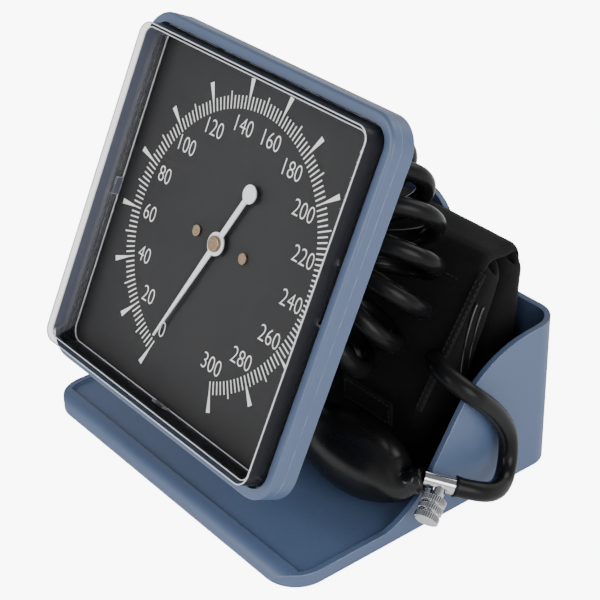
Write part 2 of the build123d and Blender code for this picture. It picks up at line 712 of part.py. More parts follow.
def dial_plate():
    """Thin square plate that carries the printed scale."""
    dial = square(DIAL_HALF, DIAL_CORNER, -DIAL_THICK, 0)
    dial -= disc(DIAL_HOLE_RADIUS, -DIAL_THICK, 0)
    for side in (-1, 1):
        dial -= disc(DIAL_SCREW_RADIUS + SCREW_GAP, -DIAL_THICK, 0, side * DIAL_SCREW_AT)
    return on_head(dial)


def dial_spacers():
    """Two short tubes between the movement and the dial."""
    spacers = []
    for side in (-1, 1):
        x = side * DIAL_SCREW_AT
        tube = disc(DIAL_SPACER_RADIUS, UPPER_PLATE_FRONT, -DIAL_THICK, x)
        tube -= disc(DIAL_SCREW_RADIUS + SCREW_GAP, UPPER_PLATE_FRONT, -DIAL_THICK, x)
        spacers.append(on_head(tube))
    return Compound(children=spacers)


def dial_screws():
    """Two brass screws that hold the dial to the movement."""
    screws = []
    for side in (-1, 1):
        x = side * DIAL_SCREW_AT
        screw = disc(DIAL_SCREW_RADIUS, UPPER_PLATE_BACK, 0, x)
        screw += disc(DIAL_SCREW_HEAD, 0, DIAL_SCREW_HEAD_HEIGHT, x)
        screws.append(on_head(screw))
    return Compound(children=screws)


# Movement


def movement_outline(low, high):
    """Plate outline that both movement plates share."""
    return block(-PLATE_HALF_WIDTH, PLATE_HALF_WIDTH, -PLATE_LOW, PLATE_HIGH, low, high)


def lower_plate():
    """Rear movement plate, with the rocker's two bearing lugs."""
    plate = movement_outline(LOWER_PLATE_BACK, LOWER_PLATE_FRONT)
    plate -= disc(POST_HOLE_RADIUS, LOWER_PLATE_BACK, LOWER_PLATE_FRONT)
    bore = SECTOR_ARBOR + SHAFT_CLEARANCE
    plate -= disc(bore, LOWER_PLATE_BACK, LOWER_PLATE_FRONT, 0, SECTOR_Y)
    for x, y in PILLARS:
        plate -= disc(REAR_SCREW_RADIUS + SCREW_GAP, LOWER_PLATE_BACK, LOWER_PLATE_FRONT, x, y)
    half = ROCKER_LUG_WIDTH / 2
    for side in (-1, 1):
        x = side * ROCKER_LUG_X
        plate += block(
            x - half, x + half, ROCKER_Y - ROCKER_LUG_DEPTH / 2, ROCKER_Y + ROCKER_LUG_DEPTH / 2,
            LOWER_PLATE_FRONT, ROCKER_Z + ROCKER_LUG_DEPTH / 2,
        )
    reach = ROCKER_LUG_X + half
    axle = SHAFT_RADIUS + SHAFT_CLEARANCE
    plate -= rod((-reach, ROCKER_Y, ROCKER_Z), (reach, ROCKER_Y, ROCKER_Z), axle)
    return on_head(plate)


def upper_plate():
    """Front movement plate, which carries the dial."""
    plate = movement_outline(UPPER_PLATE_BACK, UPPER_PLATE_FRONT)
    plate -= disc(SHAFT_RADIUS + SHAFT_CLEARANCE, UPPER_PLATE_BACK, UPPER_PLATE_FRONT)
    bore = SECTOR_ARBOR + SHAFT_CLEARANCE
    plate -= disc(bore, UPPER_PLATE_BACK, UPPER_PLATE_FRONT, 0, SECTOR_Y)
    for x, y in PILLARS:
        plate -= disc(PLATE_SCREW_RADIUS + SCREW_GAP, UPPER_PLATE_BACK, UPPER_PLATE_FRONT, x, y)
    for side in (-1, 1):
        x = side * DIAL_SCREW_AT
        plate -= disc(DIAL_SCREW_RADIUS + SCREW_GAP, UPPER_PLATE_BACK, UPPER_PLATE_FRONT, x)
    return on_head(plate)


def pinion_bridge():
    """Strap over the capsule that carries the pinion's lower end."""
    bridge = block(
        -BRIDGE_HALF_LENGTH, BRIDGE_HALF_LENGTH, -BRIDGE_HALF_WIDTH, BRIDGE_HALF_WIDTH,
        BRIDGE_BACK, BRIDGE_FRONT,
    )
    for side in (-1, 1):
        x = side * BRIDGE_FOOT_X
        bridge += disc(BRIDGE_FOOT_RADIUS, LOWER_PLATE_FRONT, BRIDGE_BACK, x)
    bridge -= disc(SHAFT_RADIUS + SHAFT_CLEARANCE, BRIDGE_BACK, BRIDGE_FRONT)
    return on_head(bridge)


def movement_standoffs():
    """Four posts between the drum's back and the lower plate."""
    posts = []
    for x, y in PILLARS:
        post = disc(PILLAR_RADIUS, DRUM_INSIDE, LOWER_PLATE_BACK, x, y)
        hole_end = DRUM_INSIDE + REAR_SCREW_REACH
        post -= disc(REAR_SCREW_RADIUS + SCREW_GAP, DRUM_INSIDE, hole_end, x, y)
        posts.append(on_head(post))
    return Compound(children=posts)


def movement_pillars():
    """Four posts between the two movement plates."""
    posts = []
    for x, y in PILLARS:
        post = disc(PILLAR_RADIUS, LOWER_PLATE_FRONT, UPPER_PLATE_BACK, x, y)
        hole_start = UPPER_PLATE_BACK - PLATE_SCREW_REACH
        post -= disc(PLATE_SCREW_RADIUS + SCREW_GAP, hole_start, UPPER_PLATE_BACK, x, y)
        posts.append(on_head(post))
    return Compound(children=posts)


def movement_screws():
    """Four screws from behind the drum and four on the upper plate."""
    screws = []
    for x, y in PILLARS:
        rear_tip = DRUM_INSIDE + REAR_SCREW_REACH - SCREW_GAP
        rear = disc(REAR_SCREW_RADIUS, DRUM_REAR, rear_tip, x, y)
        rear += disc(REAR_SCREW_HEAD, DRUM_REAR - REAR_SCREW_HEAD_HEIGHT, DRUM_REAR, x, y)
        screws.append(on_head(rear))
        tip = UPPER_PLATE_BACK - PLATE_SCREW_REACH + SCREW_GAP
        front = disc(PLATE_SCREW_RADIUS, tip, UPPER_PLATE_FRONT, x, y)
        head_top = UPPER_PLATE_FRONT + PLATE_SCREW_HEAD_HEIGHT
        front += disc(PLATE_SCREW_HEAD, UPPER_PLATE_FRONT, head_top, x, y)
        screws.append(on_head(front))
    return Compound(children=screws)


def pressure_capsule():
    """Thin hollow capsule with rings pressed into both faces."""
    middle = (CAPSULE_FRONT + CAPSULE_BACK) / 2
    inner_r = CAPSULE_RADIUS - CAPSULE_RIM
    step = (inner_r - SOCKET_STEM) / (2 * CAPSULE_RIPPLES)

    def skin(level, side, grow):
        points = [(0 if side > 0 else SOCKET_BORE, level)]
        for ring in range(2 * CAPSULE_RIPPLES):
            dip = CAPSULE_RIPPLE if ring % 2 else 0
            points.append((SOCKET_STEM + ring * step, level - side * dip))
        points.append((inner_r + grow, level))
        return points

    top = skin(CAPSULE_FRONT, 1, 0)
    bottom = skin(CAPSULE_BACK, -1, 0)
    rim = [(CAPSULE_RADIUS, middle)]
    inside_top = [(x, z - CAPSULE_SHEET) for x, z in top]
    inside_bottom = [(x, z + CAPSULE_SHEET) for x, z in bottom]
    inside_rim = [(CAPSULE_RADIUS - CAPSULE_SHEET * 2, middle)]
    points = top + rim + bottom[::-1] + inside_bottom + inside_rim + inside_top[::-1]
    face = make_face(Polyline(*points, close=True))
    return on_head(revolve(Plane.XZ * face, Axis.Z))


def gauge_socket():
    """Hollow inlet: a flange under the capsule, a stem through the drum, and a hose barb."""
    socket = disc(SOCKET_FLANGE, DRUM_INSIDE, CAPSULE_BACK)
    socket += disc(SOCKET_STEM, SOCKET_BACK, DRUM_INSIDE)
    socket += disc(SOCKET_BARB_RADIUS, HOSE_START, SOCKET_BACK)
    for ring in range(SOCKET_BARBS):
        wide = HOSE_START + (ring + 1) * SOCKET_BARB_STEP
        narrow = wide - SOCKET_BARB_STEP
        cone = Cone(SOCKET_BARB_RADIUS, SOCKET_BARB_RIDGE, wide - narrow)
        socket += Pos(0, 0, (wide + narrow) / 2) * cone
    socket -= disc(SOCKET_BORE, HOSE_START, CAPSULE_BACK)
    return on_head(socket)


def socket_nut():
    """Thin hexagon nut that clamps the socket to the drum's back."""
    hexagon = RegularPolygon(SOCKET_NUT_RADIUS, 6, major_radius=False)
    face = Pos(0, 0, SOCKET_BACK) * (hexagon - Circle(SOCKET_STEM + THREAD_CLEARANCE))
    return on_head(extrude(face, SOCKET_NUT_HEIGHT))


def capsule_post():
    """Small button on the capsule that pushes the rocker."""
    top = ROCKER_Z - ROCKER_ARM_THICK / 2 - POST_GAP
    return on_head(disc(POST_RADIUS, CAPSULE_FRONT, top))


def rocker_arm():
    """Cross shaft with a flat arm over the capsule's post and an upright finger."""
    reach = ROCKER_LUG_X + ROCKER_LUG_WIDTH / 2
    rocker = rod((-reach, ROCKER_Y, ROCKER_Z), (reach, ROCKER_Y, ROCKER_Z), SHAFT_RADIUS)
    half = ROCKER_ARM_WIDTH / 2
    rocker += block(
        -half, half, -ROCKER_ARM_OVER, ROCKER_Y,
        ROCKER_Z - ROCKER_ARM_THICK / 2, ROCKER_Z + ROCKER_ARM_THICK / 2,
    )
    finger = ROCKER_FINGER_WIDTH / 2
    deep = ROCKER_FINGER_DEPTH / 2
    rocker += block(
        -ROCKER_FINGER_X - finger, -ROCKER_FINGER_X + finger, ROCKER_Y - deep, ROCKER_Y + deep,
        ROCKER_Z, ROCKER_Z + ROCKER_FINGER_RISE,
    )
    return on_head(rocker)


def tooth_points(pitch_radius, angle):
    """Four corners of one tooth, for a tooth whose middle is at an angle in radians."""
    root = pitch_radius - GEAR_DEDENDUM
    tip = pitch_radius + GEAR_ADDENDUM
    corners = []
    for radius, width in ((root, -TOOTH_ROOT), (tip, -TOOTH_TIP), (tip, TOOTH_TIP), (root, TOOTH_ROOT)):
        turn = angle + width / 2 / radius
        corners.append((radius * cos(turn), radius * sin(turn)))
    return corners


def pinion_shaft():
    """Pinion, collar and spring collet on the shaft that carries the pointer."""
    shaft_top = POINTER_BACK + POINTER_THICK + SHAFT_INTO_CAP
    shaft = disc(SHAFT_RADIUS, BRIDGE_BACK, shaft_top)
    points = []
    for tooth in range(PINION_TEETH):
        points += tooth_points(PINION_RADIUS, pi / 2 + tooth * 2 * pi / PINION_TEETH)
    teeth = make_face(Polyline(*points, close=True))
    shaft += extrude(Pos(0, 0, PINION_BACK) * teeth, PINION_WIDTH)
    shaft += disc(PINION_COLLAR, BRIDGE_FRONT + SHAFT_CLEARANCE, PINION_BACK)
    collet_top = UPPER_PLATE_BACK - COLLET_BELOW_PLATE
    shaft += disc(COLLET_RADIUS, collet_top - COLLET_HEIGHT, collet_top)
    return on_head(shaft)


def sector_gear():
    """Toothed sector on its arbor, meshed with the pinion at zero pressure."""
    pitch = 2 * pi / SECTOR_RING_TEETH
    spread = SECTOR_TEETH * pitch
    first = 1.5 * pi - radians(SECTOR_SWING) / 2 - spread / 2
    first = 1.5 * pi + pitch / 2 - round((1.5 * pi - first) / pitch) * pitch
    points = []
    for tooth in range(SECTOR_TEETH):
        points += tooth_points(SECTOR_RADIUS, first + tooth * pitch)
    rim = make_face(Polyline((0, 0), *points, close=True))
    window = SECTOR_RADIUS - SECTOR_RIM
    inner = Circle(window) - Circle(SECTOR_HUB_RADIUS)
    middle = first + (SECTOR_TEETH - 1) * pitch / 2
    spoke = Rot(0, 0, middle * 180 / pi) * Pos(window / 2, 0) * Rectangle(window, SECTOR_RIM)
    face = (rim - inner) + spoke + Circle(SECTOR_HUB_RADIUS)
    gear = extrude(Pos(0, SECTOR_Y, SECTOR_BACK) * face, SECTOR_THICK)
    hub_back = SECTOR_BACK - (SECTOR_HUB_HEIGHT - SECTOR_THICK) / 2
    gear += disc(SECTOR_HUB_RADIUS, hub_back, hub_back + SECTOR_HUB_HEIGHT, 0, SECTOR_Y)
    arbor_low = LOWER_PLATE_BACK + PLATE_THICK / 2
    arbor_high = UPPER_PLATE_FRONT - PLATE_THICK / 2
    gear += disc(SECTOR_ARBOR, arbor_low, arbor_high, 0, SECTOR_Y)
    return on_head(gear)


def hairspring():
    """Flat spiral strip, made of half circles about two centres."""
    step = SPRING_STEP
    outer = []
    inner = []
    radius = SPRING_START
    start = SPRING_START
    for half_turn in range(2 * SPRING_TURNS):
        centre = 0.0 if half_turn % 2 == 0 else step
        side = 1 if half_turn % 2 == 0 else -1
        for chain, r in ((outer, radius), (inner, radius - SPRING_STRIP)):
            chain.append(
                ThreePointArc((centre + side * r, 0), (centre, side * r), (centre - side * r, 0))
            )
        radius += step
    last = radius - step
    end_centre = step
    ends = [
        Line((start, 0), (start - SPRING_STRIP, 0)),
        Line((end_centre + last, 0), (end_centre + last - SPRING_STRIP, 0)),
    ]
    face = make_face(outer + inner + ends)
    low = UPPER_PLATE_BACK - SPRING_BELOW_PLATE - SPRING_HEIGHT
    return on_head(extrude(Pos(0, 0, low) * face, SPRING_HEIGHT))


def hairspring_stud():
    """Pin under the upper plate that holds the spring's outer end."""
    end = SPRING_START + 2 * SPRING_TURNS * SPRING_STEP
    x = end + STUD_RADIUS
    return on_head(disc(STUD_RADIUS, UPPER_PLATE_BACK - STUD_LENGTH, UPPER_PLATE_BACK, x))


def pointer():
    """Thin white pointer with a round counterweight on its tail."""
    blade = Polyline(
        (0, -POINTER_ROOT_HALF), (POINTER_REACH, -POINTER_TIP_HALF),
        (POINTER_REACH, POINTER_TIP_HALF), (0, POINTER_ROOT_HALF), close=True,
    )
    face = make_face(blade) + Circle(POINTER_HUB_RADIUS)
    tail = Pos(-POINTER_TAIL_AT / 2, 0) * Rectangle(POINTER_TAIL_AT, 2 * POINTER_TAIL_HALF)
    face += tail
    face += Pos(-POINTER_TAIL_AT, 0) * Circle(POINTER_TAIL_RADIUS)
    face -= Circle(SHAFT_RADIUS + SHAFT_CLEARANCE)
    hand = extrude(Pos(0, 0, POINTER_BACK) * face, POINTER_THICK)
    return on_head(Rot(0, 0, ZERO_ANGLE) * hand)


def pointer_cap():
    """Round cap over the pointer's middle."""
    low = POINTER_BACK + POINTER_THICK
    cap = disc(CAP_RADIUS, low, low + CAP_HEIGHT)
    cap = fillet(cap.edges().group_by(Axis.Z)[-1], CAP_ROUND)
    cap -= disc(SHAFT_RADIUS + SHAFT_CLEARANCE, low, low + SHAFT_INTO_CAP + SHAFT_CLEARANCE)
    return on_head(cap)


# Bulb and valves


def valve_run():
    """Unit direction of the release valve's body."""
    return (VALVE_END - VALVE_START).normalized()


def rubber_bulb():
    """Oval bulb with a neck at its right end and a seat for each valve."""
    outline = [
        ThreePointArc(
            (-BULB_SIDE_AT, BULB_SIDE_RADIUS), (0, BULB_RADIUS), (BULB_SIDE_AT, BULB_SIDE_RADIUS),
        ),
        ThreePointArc(
            (BULB_SIDE_AT, BULB_SIDE_RADIUS), (BULB_END_AT, BULB_END_RADIUS), (BULB_HALF_LENGTH, 0),
        ),
        Line((BULB_HALF_LENGTH, 0), (-BULB_HALF_LENGTH, 0)),
        ThreePointArc(
            (-BULB_HALF_LENGTH, 0), (-BULB_END_AT, BULB_END_RADIUS),
            (-BULB_SIDE_AT, BULB_SIDE_RADIUS),
        ),
    ]
    bulb = Pos(BULB_X, BULB_Y, BULB_Z) * revolve(make_face(outline), Axis.X)
    bulb += rod(BULB_NECK_START, BULB_NECK_END, BULB_NECK_RADIUS)
    seat = VALVE_START - valve_run() * VALVE_INTO_NECK
    bulb -= rod(seat, VALVE_END, VALVE_RADIUS + VALVE_FIT)
    end_x = BULB_X - BULB_HALF_LENGTH
    plug_end = (end_x + INLET_PLUG, BULB_Y, BULB_Z)
    bulb -= rod((end_x - INLET_TIP, BULB_Y, BULB_Z), plug_end, INLET_PLUG_RADIUS + VALVE_FIT)
    return bulb


def inlet_valve():
    """Stepped air inlet in the bulb's left end, with its air hole."""
    end_x = BULB_X - BULB_HALF_LENGTH
    body_right = end_x - INLET_STANDS_OFF
    body_left = body_right - INLET_BODY
    tip_left = body_left - INLET_TIP

    def bar(x0, x1, radius):
        return rod((x0, BULB_Y, BULB_Z), (x1, BULB_Y, BULB_Z), radius)

    valve = bar(body_right, end_x + INLET_PLUG, INLET_PLUG_RADIUS)
    valve += bar(body_left, body_right, INLET_BODY_RADIUS)
    valve += bar(tip_left, body_left, INLET_TIP_RADIUS)
    valve -= bar(tip_left, body_left, INLET_BORE)
    return valve


def knob_plane():
    """Frame of the release knob: its z axis runs out of the valve."""
    middle = (VALVE_START + VALVE_END) * 0.5
    return Plane(origin=middle, z_dir=KNOB_AXIS)


def valve_body():
    """Chrome tube between bulb and hose, with a side neck for the needle."""
    body = rod(VALVE_START - valve_run() * VALVE_INTO_NECK, VALVE_END, VALVE_RADIUS)
    body += knob_plane().location * disc(VALVE_NECK_RADIUS, 0, VALVE_NECK_END)
    bore = NEEDLE_RADIUS + NEEDLE_CLEARANCE
    body -= knob_plane().location * disc(bore, VALVE_BORE_BOTTOM, VALVE_NECK_END)
    return body


def valve_needle():
    """Needle that closes the valve and carries the knob."""
    needle = disc(NEEDLE_RADIUS, NEEDLE_TIP + NEEDLE_CONE, NEEDLE_END)
    cone = Cone(NEEDLE_TIP_RADIUS, NEEDLE_RADIUS, NEEDLE_CONE)
    needle += Pos(0, 0, NEEDLE_TIP + NEEDLE_CONE / 2) * cone
    return knob_plane().location * needle


def valve_knob():
    """Knurled release knob."""
    end = KNOB_START + KNOB_LENGTH
    knob = disc(KNOB_RADIUS, KNOB_START, end)
    knob = chamfer(knob.edges().group_by(Axis.Z)[-1], KNOB_GROOVE_RADIUS)
    for groove in range(KNOB_GROOVES):
        angle = groove * 2 * pi / KNOB_GROOVES
        x = KNOB_RADIUS * cos(angle)
        y = KNOB_RADIUS * sin(angle)
        knob -= disc(
            KNOB_GROOVE_RADIUS, KNOB_START + KNOB_GROOVE_MARGIN, end - KNOB_GROOVE_MARGIN, x, y,
        )
    knob -= disc(NEEDLE_RADIUS + NEEDLE_CLEARANCE, KNOB_START, NEEDLE_END + NEEDLE_CLEARANCE)
    return knob_plane().location * knob


# Hoses


def corner_radii(name, points):
    """Largest arc that each corner's two runs allow, with the radii printed."""
    points = [Vector(p) for p in points]
    radii = []
    for before, corner, after in zip(points, points[1:], points[2:]):
        arrive = corner - before
        leave = after - corner
        half_turn = radians(arrive.get_angle(leave)) / 2
        shorter = min(arrive.length, leave.length)
        radii.append(CORNER_SHARE * shorter / tan(half_turn))
    print(name, "radii", [round(r, 1) for r in radii])
    return radii


def tube_path(name, points):
    """Straight runs joined by tangent arcs."""
    return FilletPolyline(*points, radius=corner_radii(name, points))


def sweep_tube(name, path, start, direction, radius):
    """Round tube along a path, with its volume set against section times length."""
    section = Plane(origin=start, z_dir=direction) * Circle(radius)
    tube = sweep(section, path=path)
    expected = pi * radius**2 * path.length
    print(name, "length", round(path.length, 1), "volume share", round(tube.volume / expected, 4))
    return tube


def smooth_between(rows, place):
    """Point on a smooth curve through equally spaced rows."""
    index = min(int(place), len(rows) - 2)
    u = place - index
    here = rows[index]
    ahead = rows[index + 1]
    before = rows[index - 1] if index > 0 else here * 2 - ahead
    after = rows[index + 2] if index + 2 < len(rows) else ahead * 2 - here
    linear = (ahead - before) * u
    square_part = (before * 2 - here * 5 + ahead * 4 - after) * u**2
    cube_part = (here * 3 - before - ahead * 3 + after) * u**3
    return (here * 2 + linear + square_part + cube_part) * 0.5


def coil_point(turn):
    """Centre of the hose at a turn number; whole turns are nearest the front."""
    centres = [Vector(p) for p, _ in COIL_AXIS]
    directions = [Vector(d) for _, d in COIL_AXIS]
    place = turn - COIL_FIRST_TURN
    centre = smooth_between(centres, place)
    along = smooth_between(directions, place).normalized()
    face = Vector(CUFF_FACE_NORMAL)
    front = (face - along * face.dot(along)).normalized()
    side = along.cross(front)
    angle = 2 * pi * turn
    return centre + (front * cos(angle) - side * sin(angle)) * COIL_RADIUS


def coil_tangent(turn):
    """Direction of the hose at a turn number."""
    return (coil_point(turn + TANGENT_STEP) - coil_point(turn - TANGENT_STEP)).normalized()


def biarc(start, start_way, end, end_way):
    """Two tangent arcs between two points with given directions."""
    span = end - start
    ways = start_way + end_way
    a = 2 * (1 - start_way.dot(end_way))
    b = 2 * span.dot(ways)
    reach = (-b + sqrt(b * b + 4 * a * span.dot(span))) / (2 * a)
    middle = (start + start_way * reach + end - end_way * reach) * 0.5
    first = Edge.make_tangent_arc(start, start_way, middle)
    second = Edge.make_tangent_arc(middle, first % 1, end)
    return [first, second]


def upper_tail_points(start, way):
    """Route of the hose from the gauge's barb to the coil's first turn."""
    leave = HEAD.z_dir * -1
    coil_start = coil_point(COIL_FIRST_TURN)
    points = [start, start + leave * UPPER_TAIL_START]
    points += [Vector(p) for p in UPPER_TAIL]
    points += [coil_start - way * UPPER_TAIL_END, coil_start]
    return points


def lower_tail_points(start, way):
    """Route of the hose from the coil's last turn to its connector."""
    face = Vector(CONNECTOR_FACE)
    return [start, start + way * LOWER_TAIL_START, face + Vector(LOWER_TAIL_END, 0, 0), face]


def print_coil_gap():
    """Least gap of the coil to itself, and to the cuff's face."""
    samples = 48
    count = int((COIL_LAST_TURN - COIL_FIRST_TURN) * samples)
    points = [coil_point(COIL_FIRST_TURN + i / samples) for i in range(count + 1)]
    least = min(
        (points[i] - points[j]).length
        for i in range(len(points))
        for j in range(i + samples // 2, min(i + 3 * samples // 2, len(points)))
    )
    face = Vector(CUFF_FACE_NORMAL)
    off = min((p - Vector(CUFF_FACE_POINT)).dot(face) for p in points)
    print("coil gap", round(least - 2 * COIL_TUBE_RADIUS, 2),
          "coil to cuff face", round(off - COIL_TUBE_RADIUS, 2))


def coiled_tube():
    """One unbroken hose: a tail, the loose coil behind the head, and a tail."""
    start = HEAD.from_local_coords((0, 0, HOSE_START))
    first_way = coil_tangent(COIL_FIRST_TURN + 2 * TANGENT_STEP)
    last_way = coil_tangent(COIL_LAST_TURN)
    edges = list(tube_path("upper tail", upper_tail_points(start, first_way)).edges())
    stations = int((COIL_LAST_TURN - COIL_FIRST_TURN) * STATIONS_PER_TURN)
    turns = [COIL_FIRST_TURN + i / STATIONS_PER_TURN for i in range(stations + 1)]
    ways = [first_way] + [coil_tangent(t) for t in turns[1:-1]] + [last_way]
    places = [coil_point(t) for t in turns]
    for i in range(stations):
        edges += biarc(places[i], ways[i], places[i + 1], ways[i + 1])
    edges += list(tube_path("lower tail", lower_tail_points(places[-1], last_way)).edges())
    print_coil_gap()
    return sweep_tube("coiled tube", Wire(edges), start, HEAD.z_dir * -1, COIL_TUBE_RADIUS)


def connector(face_x, way):
    """One half of the hose connector, with its grip ring, running from a face along X."""
    _, y, z = CONNECTOR_FACE
    end_x = face_x + way * CONNECTOR_HALF
    body = rod((face_x, y, z), (end_x, y, z), CONNECTOR_RADIUS)
    ring_x = end_x - way * CONNECTOR_RING_LENGTH
    body += rod((ring_x, y, z), (end_x, y, z), CONNECTOR_RING_RADIUS)
    return body


def tube_connector():
    """Connector half on the coil's end."""
    return connector(CONNECTOR_FACE[0], -1)


def cuff_connector():
    """Connector half on the cuff's own hose."""
    return connector(CONNECTOR_FACE[0] - 2 * CONNECTOR_HALF, 1)


def cuff_tube_points():
    """Route of the cuff's own short hose."""
    x, y, z = CONNECTOR_FACE
    left = x - 2 * CONNECTOR_HALF
    return [Vector(left, y, z), Vector(left - CUFF_TUBE_STRAIGHT, y, z), Vector(CUFF_TUBE_END)]


def cuff_tube():
    """Short hose from the connector into the cuff."""
    points = cuff_tube_points()
    path = tube_path("cuff tube", points)
    return sweep_tube("cuff tube", path, points[0], Vector(-1, 0, 0), COIL_TUBE_RADIUS)


def bulb_tube_points():
    """Route of the hose from the release valve over the side wall into the cuff."""
    leave = VALVE_END + valve_run() * BULB_TUBE_STRAIGHT
    rise = [BULB_SHIFT + Vector(p) for p in BULB_TUBE_FROM_BULB]
    return [VALVE_END, leave] + rise + [Vector(p) for p in BULB_TUBE_INTO_CUFF]


def bulb_tube():
    """Hose between the bulb's valve and the cuff."""
    points = bulb_tube_points()
    path = tube_path("bulb tube", points)
    return sweep_tube("bulb tube", path, points[0], points[1] - points[0], BULB_TUBE_RADIUS)


# Cuff


def tube_hole(points, radius):
    """Blind hole for a hose's end."""
    end = points[-1]
    way = (end - points[-2]).normalized()
    return rod(end - way * TUBE_HOLE_DEPTH, end, radius + TUBE_HOLE_GAP)


def cuff_layer(first, last, x0, x1):
    """Padded layer between two of the cuff's boundary lines."""
    gap = CUFF_GAP if last < len(CUFF_TOP_FRONTS) - 1 else 0
    top = max(CUFF_TOPS[first:last])
    rise = (top - CUFF_KINK_HEIGHT) / (CUFF_TOP - CUFF_KINK_HEIGHT)

    def at_top(index):
        low = CUFF_KINK_FRONTS[index]
        return low + rise * (CUFF_TOP_FRONTS[index] - low)

    points = [
        (CUFF_BOTTOM_FRONTS[first], CUFF_BOTTOM),
        (CUFF_KINK_FRONTS[first], CUFF_KINK_HEIGHT),
        (at_top(first), top),
        (at_top(last) - gap, top),
        (CUFF_KINK_FRONTS[last] - gap, CUFF_KINK_HEIGHT),
        (CUFF_BOTTOM_FRONTS[last] - gap, CUFF_BOTTOM),
    ]
    kink = CUFF_KINK_RADIUS
    radii = [CUFF_TOP_ROUND, kink, CUFF_TOP_ROUND, CUFF_TOP_ROUND, kink, CUFF_TOP_ROUND]
    if last == len(CUFF_TOP_FRONTS) - 1:
        points.pop(4)
        radii.pop(4)
    return side_prism(points, radii, x0, x1)


def cuff_fold(first):
    """Two layers of the cuff joined by a turn at the right end."""
    fold = cuff_layer(first, first + 2, CUFF_FOLD_START, CUFF_RIGHT)
    ends = fold.edges().filter_by(
        lambda e: e.bounding_box().min.X > CUFF_RIGHT - CUFF_END_TOLERANCE
        and e.length > CUFF_KINK_RADIUS
        and e.bounding_box().size.Z > e.bounding_box().size.Y
    )
    fold = fillet(ends, CUFF_FOLD_ROUND)
    fold += cuff_layer(first, first + 1, CUFF_LEFT, CUFF_FOLD_START)
    fold += cuff_layer(first + 1, first + 2, CUFF_LEFT, CUFF_FOLD_START)
    return fold


def bladder_slab(grow, above):
    """Flat slab inside the front layer, parallel to its face."""
    slab = block(
        BLADDER_LEFT - grow, BLADDER_RIGHT + grow, BLADDER_LOW - grow, BLADDER_HIGH + above,
        -BLADDER_DEPTH - BLADDER_THICK - grow, -BLADDER_DEPTH + grow,
    )
    return slab.moved(CUFF_FACE.location)


def cuff_front():
    """Front half of the folded cuff, with the bladder's pocket and both hose entries."""
    front = cuff_fold(0)
    front -= bladder_slab(BLADDER_GAP, BLADDER_MOUTH)
    front -= tube_hole(cuff_tube_points(), COIL_TUBE_RADIUS)
    front -= tube_hole(bulb_tube_points(), BULB_TUBE_RADIUS)
    return front


def cuff_rear():
    """Rear half of the folded cuff."""
    return cuff_fold(2)


def cuff_bladder():
    """Air bladder in its pocket."""
    return bladder_slab(0, 0)


def cuff_binding():
    """Sewn edge strip on the front face."""
    strip = block(
        BINDING_LEFT, BINDING_LEFT + BINDING_WIDTH, BINDING_LOW, BINDING_HIGH, 0, BINDING_THICK,
    )
    strip = strip.moved(CUFF_FACE.location)
    return strip - tube_hole(bulb_tube_points(), BULB_TUBE_RADIUS)


def flap_slab(margin, back, thick):
    """Upright slab in front of the cuff's lower face."""
    y1 = CUFF_KINK_FRONTS[0] - back
    return block(
        FLAP_LEFT + margin, FLAP_RIGHT - margin, y1 - thick, y1,
        FLAP_LOW + margin, FLAP_HIGH - margin,
    )


def loop_patch():
    """Loop half of the fastener, on the cuff."""
    return flap_slab(FLAP_MARGIN, 0, PATCH_THICK)


def hook_patch():
    """Hook half of the fastener, under the flap."""
    return flap_slab(FLAP_MARGIN, PATCH_THICK, PATCH_THICK)


def cuff_flap():
    """Closing flap of the cuff."""
    return flap_slab(0, 2 * PATCH_THICK, FLAP_THICK)


PIECES = [
    base_tray, rubber_feet, gauge_stand, stand_screws, hinge_bolt, hinge_nut, hinge_washers,
    rear_case, front_bezel, clear_cover, dial_plate, dial_spacers, dial_screws,
    lower_plate, upper_plate, pinion_bridge, movement_standoffs, movement_pillars,
    movement_screws, pressure_capsule, gauge_socket, socket_nut, capsule_post, rocker_arm,
    sector_gear, pinion_shaft, hairspring, hairspring_stud, pointer, pointer_cap,
    rubber_bulb, inlet_valve, valve_body, valve_needle, valve_knob,
    coiled_tube, tube_connector, cuff_connector, cuff_tube, bulb_tube,
    cuff_front, cuff_rear, cuff_bladder, cuff_binding, cuff_flap, loop_patch, hook_patch,
]

for piece in PIECES:
    save(piece.__name__, piece())
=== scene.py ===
"""Looks of the desk blood pressure gauge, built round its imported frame.

Metres, in the frame's own axes: X to the right, Y to the back, Z up, with the origin under the
middle of the base. The camera and the hoses are made first, then the base, the gauge head, the
bulb and the folded cuff.
"""

import json
import logging
import math
from collections.abc import Callable, Sequence
from dataclasses import dataclass, field
from enum import Enum

